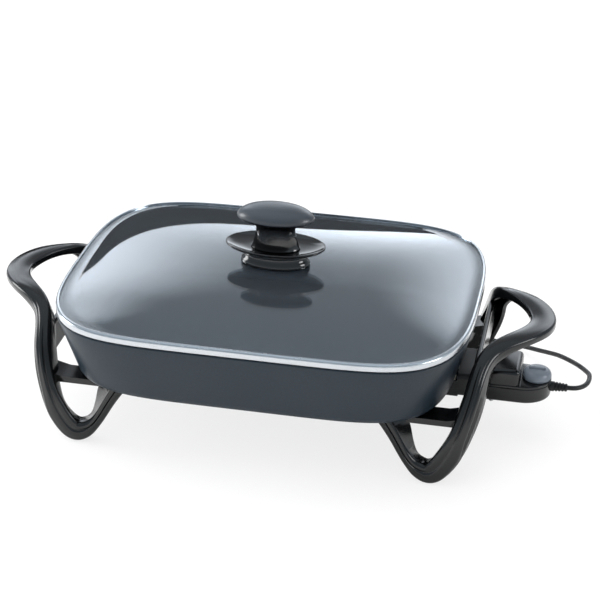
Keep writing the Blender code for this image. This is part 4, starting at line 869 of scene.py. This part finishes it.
class SKILLET_OT_pan(bpy.types.Operator):
    """Makes the coated pan"""

    bl_idname = "skillet.pan"
    bl_label = "Pan"

    def execute(self, context):
        sizes = context.scene.skillet_sizes
        lip = sizes.lip
        inner = list(reversed(foot_arc(sizes.wall_draw + sizes.wall, PAN_FLOOR + sizes.base, sizes.foot_radius)))
        inner_lip = quarter(sizes.wall - lip, RIM_Z - lip, lip, 0)
        outer_lip = quarter(lip, RIM_Z - lip, lip, 90)
        outer = foot_arc(sizes.wall_draw, PAN_FLOOR, sizes.foot_radius)
        section = inner + inner_lip + outer_lip + outer
        pan = skin("coated_pan", [pan_outline(inset, z) for inset, z in section])
        show(pan, "non_stick_coat", "skillet", ["pan"])
        return {"FINISHED"}


class SKILLET_OT_lid(bpy.types.Operator):
    """Makes the glass dome and its steel band"""

    bl_idname = "skillet.lid"
    bl_label = "Glass lid"

    def execute(self, context):
        sizes = context.scene.skillet_sizes
        self.make_glass(sizes)
        self.make_band(sizes)
        return {"FINISHED"}

    def make_glass(self, sizes):
        hole = 4.6 * MM
        brim = 0.955
        edge_z = BAND_HIGH.z - 1.7 * MM
        half_x, half_y = GLASS_HIGH.x - hole, GLASS_HIGH.y - hole
        shares = [brim * k / 36 for k in range(37)] + [0.975, 0.995, 1.0]
        top = []
        for share in shares:
            z = edge_z + (GLASS_HIGH.z - edge_z) * (1 - min(share / brim, 1.0) ** 2.6)
            powers = (2 + share * (sizes.end_bow - 2), 2 + share * (sizes.side_bow - 2))
            top.append((hole + share * half_x, hole + share * half_y, z, powers))
        rings = [oval(x, y, z, sizes.plan_count, *powers) for x, y, z, powers in top]
        rings += [oval(x, y, z - sizes.glass, sizes.plan_count, *powers) for x, y, z, powers in reversed(top)]
        glass = skin("lid_dome", rings, closed=True)
        show(glass, "tempered_glass", "lid", ["lid_glass"])

    def make_band(self, sizes):
        foot, crown = BAND_LOW.z, BAND_HIGH.z
        wall, depth, bend = 1.4 * MM, sizes.band_depth, sizes.band_round
        groove_top = crown - wall
        groove_foot = groove_top - sizes.glass - 2 * FIT
        section = [(depth, groove_top), (wall, groove_top), (wall, groove_foot), (depth, groove_foot)]
        section += [(depth - a, b) for a, b in ((0.0, foot + 0.7 * MM), (0.2 * MM, foot + 0.2 * MM), (0.7 * MM, foot))]
        section += [(a, b) for a, b in reversed(quarter(2 * MM, foot + 2 * MM, 2 * MM, 180))]
        section += list(reversed(quarter(bend, crown - bend, bend, 90, 10)))
        section += [(depth - a, b) for a, b in ((0.7 * MM, crown), (0.2 * MM, crown - 0.2 * MM), (0.0, crown - 0.7 * MM))]
        band = skin("lid_band", [pan_outline(inset, z) for inset, z in section], closed=True)
        show(band, "polished_steel", "lid", ["lid_rim"])


class SKILLET_OT_knob(bpy.types.Operator):
    """Makes the oval knob's base, guard and grip"""

    bl_idname = "skillet.knob"
    bl_label = "Knob"

    def execute(self, context):
        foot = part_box("knob_base")[0].z / MM
        base = ((3.2, 3.2, 0), (33.6, 18.8, 0), (34.6, 19.7, 0.3), (35, 20, 1.2), (34.7, 19.8, 3.4), (33.6, 19, 5.6),
                (31.8, 17.8, 7), (30.5, 16.9, 9.5), (30.1, 16.8, 13.2), (29.6, 16.5, 14), (3.2, 3.2, 14))
        self.make_piece("knob_foot", base, foot, "gloss_black_knob", "knob_base")
        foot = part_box("knob_guard")[0].z / MM
        guard = ((3.2, 3.2, 0), (28.8, 16, 0), (30.6, 17, 0.2), (40, 22.2, 1.4), (47.2, 26.2, 3.2), (49.6, 27.8, 5),
                 (50.1, 28.1, 6.1), (49.7, 27.8, 6.9), (48.6, 27, 7), (47.2, 25.8, 6.2), (41, 22.4, 4.2),
                 (33, 18, 3.1), (26.6, 15.6, 2.6), (3.2, 3.2, 2.6))
        self.make_piece("knob_finger_guard", guard, foot, "gloss_black_knob", "knob_guard")
        foot = GRIP_LOW.z / MM
        top = (GRIP_HIGH.z - GRIP_LOW.z) / MM
        brim = top - 12.5
        grip = ((3.2, 3.2, brim - 8), (3.2, 3.2, 0), (24.3, 14.1, 0), (24.9, 14.5, 0.5), (23.4, 13.6, 2.4),
                (20.6, 12.7, (brim - 12) / 2), (19, 12, brim - 12), (20.8, 13.1, brim - 6.6), (26, 15.4, brim - 5),
                (33.5, 19, brim - 3.8), (37.4, 21.6, brim - 1.6), (38.2, 22.1, brim + 0.4), (37.9, 21.9, brim + 2.4),
                (35.6, 20.4, brim + 5.4), (30.6, 17.4, brim + 8.6), (22.4, 12.6, brim + 11.2),
                (12, 6.8, brim + 12.3), (4, 2.2, brim + 12.5))
        self.make_piece("knob_handle", grip, foot, "knob_satin", "knob_grip", closed=False)
        return {"FINISHED"}

    def make_piece(self, name, rows, foot, finish, node, closed=True):
        rings = [oval(x * MM, y * MM, (foot + z) * MM, 48) for x, y, z in rows]
        piece = soften(skin(name, rings, closed=closed, sharp=0))
        show(piece, finish, "lid", [node])


# Along the moulding from the handle's tip to the inner end of the leg: x from the foot (0) over the
# knee (1) to the tip (2), y, z from the floor (0) over the pan's underside (1) to the handle (2),
# half breadth, half depth, how far its face has turned from up to front, how much of its breadth
# the outer side wall leans in by, and how much the inner one leans out by at its back.
MOULDING_WAY = (
    (2.000, 0.000, 2.000, 0.99, 0.52, 0.00, 0.00, 0.00),
    (1.916, 0.155, 2.008, 0.97, 0.52, 0.00, 0.00, 0.00),
    (1.696, 0.309, 2.022, 0.87, 0.52, 0.05, 0.00, 0.00),
    (1.400, 0.442, 2.002, 0.76, 0.59, 0.17, 0.03, 0.00),
    (1.140, 0.552, 1.908, 0.72, 0.77, 0.39, 0.08, 0.00),
    (1.000, 0.671, 1.720, 0.74, 1.10, 0.67, 0.14, 0.00),
    (0.949, 0.795, 1.466, 0.82, 1.29, 0.87, 0.22, 0.00),
    (0.851, 0.905, 1.136, 0.89, 1.22, 0.98, 0.28, 0.00),
    (0.694, 0.981, 0.800, 0.91, 1.07, 1.00, 0.26, -0.08),
    (0.481, 1.001, 0.523, 0.98, 1.00, 1.00, 0.12, -0.20),
    (0.268, 1.004, 0.308, 0.98, 1.00, 1.00, 0.08, -0.15),
    (0.015, 1.000, 0.158, 0.95, 1.00, 1.00, 0.04, -0.08),
    (-0.266, 0.997, 0.209, 0.72, 0.99, 1.00, 0.02, 0.00),
    (-0.494, 0.992, 0.331, 0.50, 0.98, 1.00, 0.00, 0.12),
    (-0.716, 0.984, 0.531, 0.45, 0.95, 1.00, 0.00, 0.50),
    (-0.922, 0.981, 0.777, 0.48, 0.95, 1.00, 0.00, 0.90),
    (-1.311, 0.981, 1.136, 0.56, 0.95, 1.00, 0.00, 0.90),
)


def between(share, low, middle, high):
    """The value for a share that runs from 0 at low over 1 at the middle to 2 at high."""
    if share > 1:
        return middle + (share - 1) * (high - middle)
    return low + share * (middle - low)


class SKILLET_OT_mouldings(bpy.types.Operator):
    """Makes the two mouldings, each a carry handle with its two looped legs"""

    bl_idname = "skillet.mouldings"
    bl_label = "Leg and handle mouldings"

    def execute(self, context):
        sizes = context.scene.skillet_sizes
        for side, end in ((-1, "left"), (1, "right")):
            frame_piece = skin(f"moulding_{end}", self.ribbon(sizes, side))
            self.join_shelves(frame_piece, side)
            show(frame_piece, "black_phenolic", "skillet", [f"leg_handle_{end}"])
        return {"FINISHED"}

    def ribbon(self, sizes, side):
        """Rings of points along the moulding, from the rear leg over the handle to the front leg."""
        stations = []
        for x, y, z, across, deep, turn, lean, flare in smooth_way(MOULDING_WAY, 7):
            middle = Vector((between(x, FOOT_X, KNEE_X, TIP_X), -y * FOOT_Y, between(z, FOOT_SINK, PAN_FLOOR, HANDLE_Z)))
            stations.append((middle, across * sizes.foot_half, deep * sizes.leg_depth, turn, lean, flare))
        middles = [station[0] for station in stations]
        for _ in range(26):
            across_tip = Vector((middles[1].x, -middles[1].y, middles[1].z))
            padded = [across_tip, *middles, 2 * middles[-1] - middles[-2]]
            middles = [(a + 2 * b + c) / 4 for a, b, c in zip(padded, padded[1:], padded[2:])]
        half = []
        for k, (middle, (_, across, deep, turn, lean, flare)) in enumerate(zip(middles, stations)):
            ahead = middles[min(k + 1, len(middles) - 1)]
            behind = middles[max(k - 1, 0)]
            way = (ahead - behind).normalized() if k else Vector((0.0, -1.0, 0.0))
            face = Vector((0.0, -math.sin(turn * math.pi / 2), math.cos(turn * math.pi / 2)))
            face = (face - way * face.dot(way)).normalized()
            half.append((middle, face.cross(way), face, across, deep, lean, flare, turn))
        flip = Matrix.Diagonal((1.0, -1.0, 1.0))
        rear = [(flip @ c, flip @ o, flip @ f, *rest) for c, o, f, *rest in reversed(half[1:])]
        mirror = Matrix.Diagonal((side, 1.0, 1.0))
        return [
            [mirror @ (middle + outward * u + face * v) for u, v in self.section(sizes, *shape)]
            for middle, outward, face, *shape in rear + half
        ]

    def section(self, sizes, across, deep, lean, flare, turn):
        """A channel with rounded shoulders, a bowed face with a flute down the leg, and soft lips, open at its back."""
        draw, flared = 2 * across * lean, 2 * across * flare
        radius = min(4.6 * MM, deep * 0.75, across * 0.7)
        side_wall, lip = 3.6 * MM, 0.7 * MM
        floor = deep - min(4.2 * MM, deep)
        bow = sizes.crown * across / sizes.foot_half
        left, right = -across, across - draw
        points = [(-across - flared + lip, -deep), (-across - flared + 0.2 * MM, -deep + 0.2 * MM), (-across - flared, -deep + lip)]
        points += [(a, b - bow) for a, b in reversed(quarter(left + radius, deep - radius, radius, 90, 6))]
        width = right - left - 2 * radius
        flute = sizes.flute * turn**3
        for k in range(1, 16):
            share = k / 16
            dip = flute * math.exp(-((share - 0.3) / 0.14) ** 2)
            points.append((left + radius + width * share, deep - bow * (2 * share - 1) ** 2 - dip))
        shoulder = [(a, b - bow) for a, b in reversed(quarter(right - radius, deep - radius, radius, 0, 6))]
        points += shoulder
        high, low = deep - radius - bow, lip - deep
        points += [(across - draw / 2, min(high - 0.15 * (high - low), high - (deep - radius / 2) * lean))]
        points += [(across, -deep + lip), (across - 0.2 * MM, -deep + 0.2 * MM), (across - lip, -deep)]
        points += [(across - side_wall + 0.2 * MM, -deep), (across - side_wall, -deep + 0.3 * MM)]
        points += [(right - side_wall, floor - 1.2 * MM), (right - side_wall - 1.2 * MM, floor)]
        points += [(left + side_wall + 1.2 * MM, floor), (left + side_wall, floor - 1.2 * MM)]
        points += [(-across - flared + side_wall, -deep + 0.3 * MM), (-across - flared + side_wall - 0.2 * MM, -deep)]
        return points

    def join_shelves(self, piece, side):
        """Joins on the shelves under the pan and the apron, and cuts the feet flat and room for the pan."""
        inner, outer = PAN_HIGH.x - 85 * MM, PAN_HIGH.x + 8 * MM
        top = PAN_FLOOR - FIT
        foot = top - 6.2 * MM
        reach, lift = outer - inner, 10 * MM
        outline = [
            (inner, foot), (outer - reach / 5, foot), (outer - reach / 12, foot + lift / 3), (outer, foot + lift),
            (outer, top + lift), (outer - reach / 9, top + lift / 3), (outer - reach / 4, top), (inner, top),
        ]
        for way in (-1, 1):
            low, high = sorted((way * 82 * MM, way * 106 * MM))
            shelf = skin("shelf", [[Vector((side * x, y, z)) for x, z in outline] for y in (low, high)])
            combine(piece, shelf, "UNION")
            low, high = sorted((way * 41 * MM, way * 130 * MM))
            x_low, x_high = sorted((side * (inner - 17 * MM), side * FOOT_X))
            combine(piece, block("pan_room", (x_low, low, top + 0.1 * MM), (x_high, high, PAN_FLOOR + 30 * MM)), "DIFFERENCE")
            low, high = sorted((way * 96 * MM, way * 130 * MM))
            x_low, x_high = sorted((side * (FOOT_X - 25 * MM), side * (FOOT_X + 25 * MM)))
            combine(piece, block("ground", (x_low, low, -8 * MM), (x_high, high, 0.0)), "DIFFERENCE")
            hole = turned("hole", ((0, -20 * MM), (2.4 * MM, -20 * MM), (2.4 * MM, 20 * MM), (0, 20 * MM)),
                          (side * 150 * MM, way * 93 * MM, top), steps=24)
            combine(piece, hole, "DIFFERENCE")
        x_low, x_high = sorted((side * (PAN_HIGH.x + 2.6 * MM), side * (PAN_HIGH.x + 8 * MM)))
        apron = block("apron", (x_low, -92 * MM, PAN_FLOOR + 9 * MM), (x_high, 92 * MM, PAN_FLOOR + 40 * MM), 1.6 * MM)
        combine(piece, apron, "UNION")


CONTROL_START = 214.0 * MM
CONTROL_END = 277.0 * MM
CONTROL_HALF = 24 * MM
CONTROL_FLOOR = PIN_Z - 17.7 * MM
CONTROL_SPLIT = PIN_Z - 1.7 * MM
CONTROL_DECK = PIN_Z + 1.3 * MM
BLOCK_TOP = PIN_Z + 17.3 * MM


def control_outline(inset, z):
    """The control's outline seen from above: square at the pan, rounded at the cord."""
    half = CONTROL_HALF - inset
    square = 249 * MM
    reach = CONTROL_END - square - inset
    start = CONTROL_START + inset
    corner = 2 * MM
    points = [Vector((a, b, z)) for a, b in quarter(start + corner, half - corner, corner, 90, 4)]
    points += [Vector((a, b, z)) for a, b in quarter(start + corner, -half + corner, corner, 180, 4)]
    for k in range(33):
        turn = math.pi * (k / 32 - 0.5)
        points.append(Vector((square + reach * math.cos(turn), half * math.sin(turn), z)))
    return points


def rod(name, radius, start, end):
    """A round bar along X or Z between two points."""
    start, end = Vector(start), Vector(end)
    length = (end - start).length
    profile = ((0, 0), (radius, 0), (radius, length), (0, length))
    return turned(name, profile, start, "X" if end.x > start.x else "Z", steps=32)


class SKILLET_OT_control(bpy.types.Operator):
    """Makes the heat control's case, its cover and the pilot lens"""

    bl_idname = "skillet.control"
    bl_label = "Heat control"

    def execute(self, context):
        housing = self.make_housing()
        cover = self.make_cover()
        for body in (housing, cover):
            combine(body, rod("probe_way", 3.3 * MM, (186 * MM, 0, PIN_Z), (224.6 * MM, 0, PIN_Z)), "DIFFERENCE")
            combine(body, rod("exit_way", 5.2 * MM, (262 * MM, 0, 53.5 * MM), (281 * MM, 0, 53.5 * MM)), "DIFFERENCE")
            for way in (-1, 1):
                spot = (221 * MM, way * 18.5 * MM)
                hole = rod("case_hole", 1.8 * MM, (*spot, CONTROL_FLOOR - 4 * MM), (*spot, CONTROL_FLOOR + 17.3 * MM))
                combine(body, hole, "DIFFERENCE")
        combine(cover, rod("shaft_way", 3.4 * MM, (DIAL_X, 0, PIN_Z - 13.7 * MM), (DIAL_X, 0, CONTROL_DECK + 4 * MM)), "DIFFERENCE")
        lens_seat = rod("lens_way", 3.3 * MM, (226 * MM, 12 * MM, BLOCK_TOP - 2.5 * MM), (226 * MM, 12 * MM, BLOCK_TOP + 4 * MM))
        combine(cover, lens_seat, "DIFFERENCE")
        show(housing, "black_phenolic", "heat_control", ["control_housing"])
        show(cover, "black_phenolic", "heat_control", ["control_cover"])
        lens = turned(
            "pilot_lens",
            ((0, 1.0 * MM), (1.0 * MM, 0.96 * MM), (1.9 * MM, 0.76 * MM), (2.6 * MM, 0.42 * MM), (3 * MM, 0),
             (3 * MM, -2.2 * MM), (0, -2.2 * MM)),
            (226 * MM, 12 * MM, BLOCK_TOP), steps=48,
        )
        show(lens, "red_lens", "heat_control", ["indicator_lens"])
        return {"FINISHED"}

    def make_housing(self):
        belly = 4 * MM
        rings = [control_outline(belly - a, CONTROL_FLOOR + belly - b) for a, b in quarter(0, 0, belly, 0)]
        rings = list(reversed(rings)) + [control_outline(0.0, CONTROL_SPLIT - 0.4 * MM), control_outline(0.4 * MM, CONTROL_SPLIT)]
        housing = skin("control_case", rings)
        nose = block(
            "nose", (190 * MM, -27 * MM, PIN_Z - 11 * MM), (CONTROL_START - 2 * FIT, 27 * MM, PIN_Z + 7.6 * MM), 1.2 * MM
        )
        combine(housing, nose, "UNION")
        root = block(
            "nose_root", (CONTROL_START - 3 * MM, -22.8 * MM, PIN_Z - 9.8 * MM),
            (CONTROL_START + 3 * MM, 22.8 * MM, CONTROL_SPLIT - FIT),
        )
        combine(housing, root, "UNION")
        pocket = block("pocket", (218 * MM, -13 * MM, PIN_Z - 13.7 * MM), (266 * MM, 13 * MM, CONTROL_SPLIT + 4 * MM))
        combine(housing, pocket, "DIFFERENCE")
        for way in (-1, 1):
            bore = rod("contact_way", 4.1 * MM, (186 * MM, way * 19 * MM, PIN_Z), (CONTROL_START - FIT, way * 19 * MM, PIN_Z))
            combine(housing, bore, "DIFFERENCE")
        return housing

    def make_cover(self):
        deck = [
            control_outline(0.4 * MM, CONTROL_SPLIT + FIT), control_outline(0.0, CONTROL_SPLIT + FIT + 0.4 * MM),
            *[control_outline(0.8 * MM - a, CONTROL_DECK - 0.8 * MM + b) for a, b in quarter(0, 0, 0.8 * MM, 0, 4)],
        ]
        cover = skin("control_cover_moulding", deck)
        hump = block(
            "hump", (CONTROL_START + 0.8 * MM, -CONTROL_HALF + 0.8 * MM, CONTROL_SPLIT - 8 * MM),
            (247.6 * MM, CONTROL_HALF - 0.8 * MM, BLOCK_TOP), 5 * MM, 6,
        )
        under = block(
            "under", (200 * MM, -30 * MM, CONTROL_SPLIT - 20 * MM), (260 * MM, 30 * MM, CONTROL_SPLIT + 0.7 * MM)
        )
        combine(hump, under, "DIFFERENCE")
        combine(cover, hump, "UNION")
        room = block("room", (218 * MM, -13 * MM, CONTROL_SPLIT - 4 * MM), (243.6 * MM, 13 * MM, PIN_Z + 13.3 * MM))
        combine(cover, room, "DIFFERENCE")
        return cover


class SKILLET_OT_dial(bpy.types.Operator):
    """Makes the turning dial with its finger rib"""

    bl_idname = "skillet.dial"
    bl_label = "Dial"

    def execute(self, context):
        low = DIAL_LOW.z
        profile = [
            (0, 9.5), (4, 9.45), (7.8, 9.1), (10.4, 8.3), (12, 7.4), (13, 6.2), (13.7, 4.8), (14.1, 3.4), (14.2, 2.2),
            (14.2, 0.5), (13.9, 0.0), (3.3, 0.0), (3.3, 5.0), (0, 5.0),
        ]
        dial = turned("control_dial_moulding", [(r * MM, z * MM) for r, z in profile], (DIAL_X, 0.0, low), steps=96)
        rib = block(
            "rib", (DIAL_X - 8.5 * MM, -1.5 * MM, low + 6 * MM), (DIAL_X + 8.5 * MM, 1.5 * MM, DIAL_HIGH.z), 1.0 * MM
        )
        combine(dial, rib, "UNION")
        show(dial, "dial_black", "dial", ["control_dial"])
        return {"FINISHED"}


class SKILLET_OT_fittings(bpy.types.Operator):
    """Gives the heating rod, terminals, screws and other small parts their finishes"""

    bl_idname = "skillet.fittings"
    bl_label = "Small parts' finishes"

    def execute(self, context):
        for part in frame["record"]["subparts"]:
            node = frame["nodes"][part["node"]]
            if node.hide_render:
                continue
            for place in node.material_slots:
                place.material = finish_of(part["material_slot"])
        return {"FINISHED"}


OPERATORS = (
    SKILLET_OT_studio, SKILLET_OT_cord, SKILLET_OT_pan, SKILLET_OT_lid, SKILLET_OT_knob, SKILLET_OT_mouldings,
    SKILLET_OT_control, SKILLET_OT_dial, SKILLET_OT_fittings,
)


class SKILLET_PT_panel(bpy.types.Panel):
    """Lists the skillet's pieces and their sizes, colours and studio"""

    bl_idname = "SKILLET_PT_panel"
    bl_label = "Electric skillet"
    bl_space_type = "VIEW_3D"
    bl_region_type = "UI"
    bl_category = "Skillet"

    def draw(self, context):
        for operator in OPERATORS:
            self.layout.operator(operator.bl_idname)
        for group in (context.scene.skillet_sizes, context.scene.skillet_colours, context.scene.skillet_studio):
            box = self.layout.box()
            for name in group.__annotations__:
                box.prop(group, name)


GROUPS = (
    ("skillet_sizes", SkilletSizes), ("skillet_colours", SkilletColours), ("skillet_studio", SkilletStudio),
)


def register():
    for name, group in GROUPS:
        bpy.utils.register_class(group)
        setattr(bpy.types.Scene, name, PointerProperty(type=group))
    for operator in OPERATORS:
        bpy.utils.register_class(operator)
    bpy.utils.register_class(SKILLET_PT_panel)


def unregister():
    bpy.utils.unregister_class(SKILLET_PT_panel)
    for operator in reversed(OPERATORS):
        bpy.utils.unregister_class(operator)
    for name, group in reversed(GROUPS):
        delattr(bpy.types.Scene, name)
        bpy.utils.unregister_class(group)


def main():
    """Builds the skillet in its studio."""
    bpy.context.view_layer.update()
    register()
    bpy.ops.skillet.studio()
    bpy.ops.skillet.cord()
    bpy.ops.skillet.pan()
    bpy.ops.skillet.lid()
    bpy.ops.skillet.knob()
    bpy.ops.skillet.mouldings()
    bpy.ops.skillet.control()
    bpy.ops.skillet.dial()
    bpy.ops.skillet.fittings()


if __name__ == "__main__":
    main()
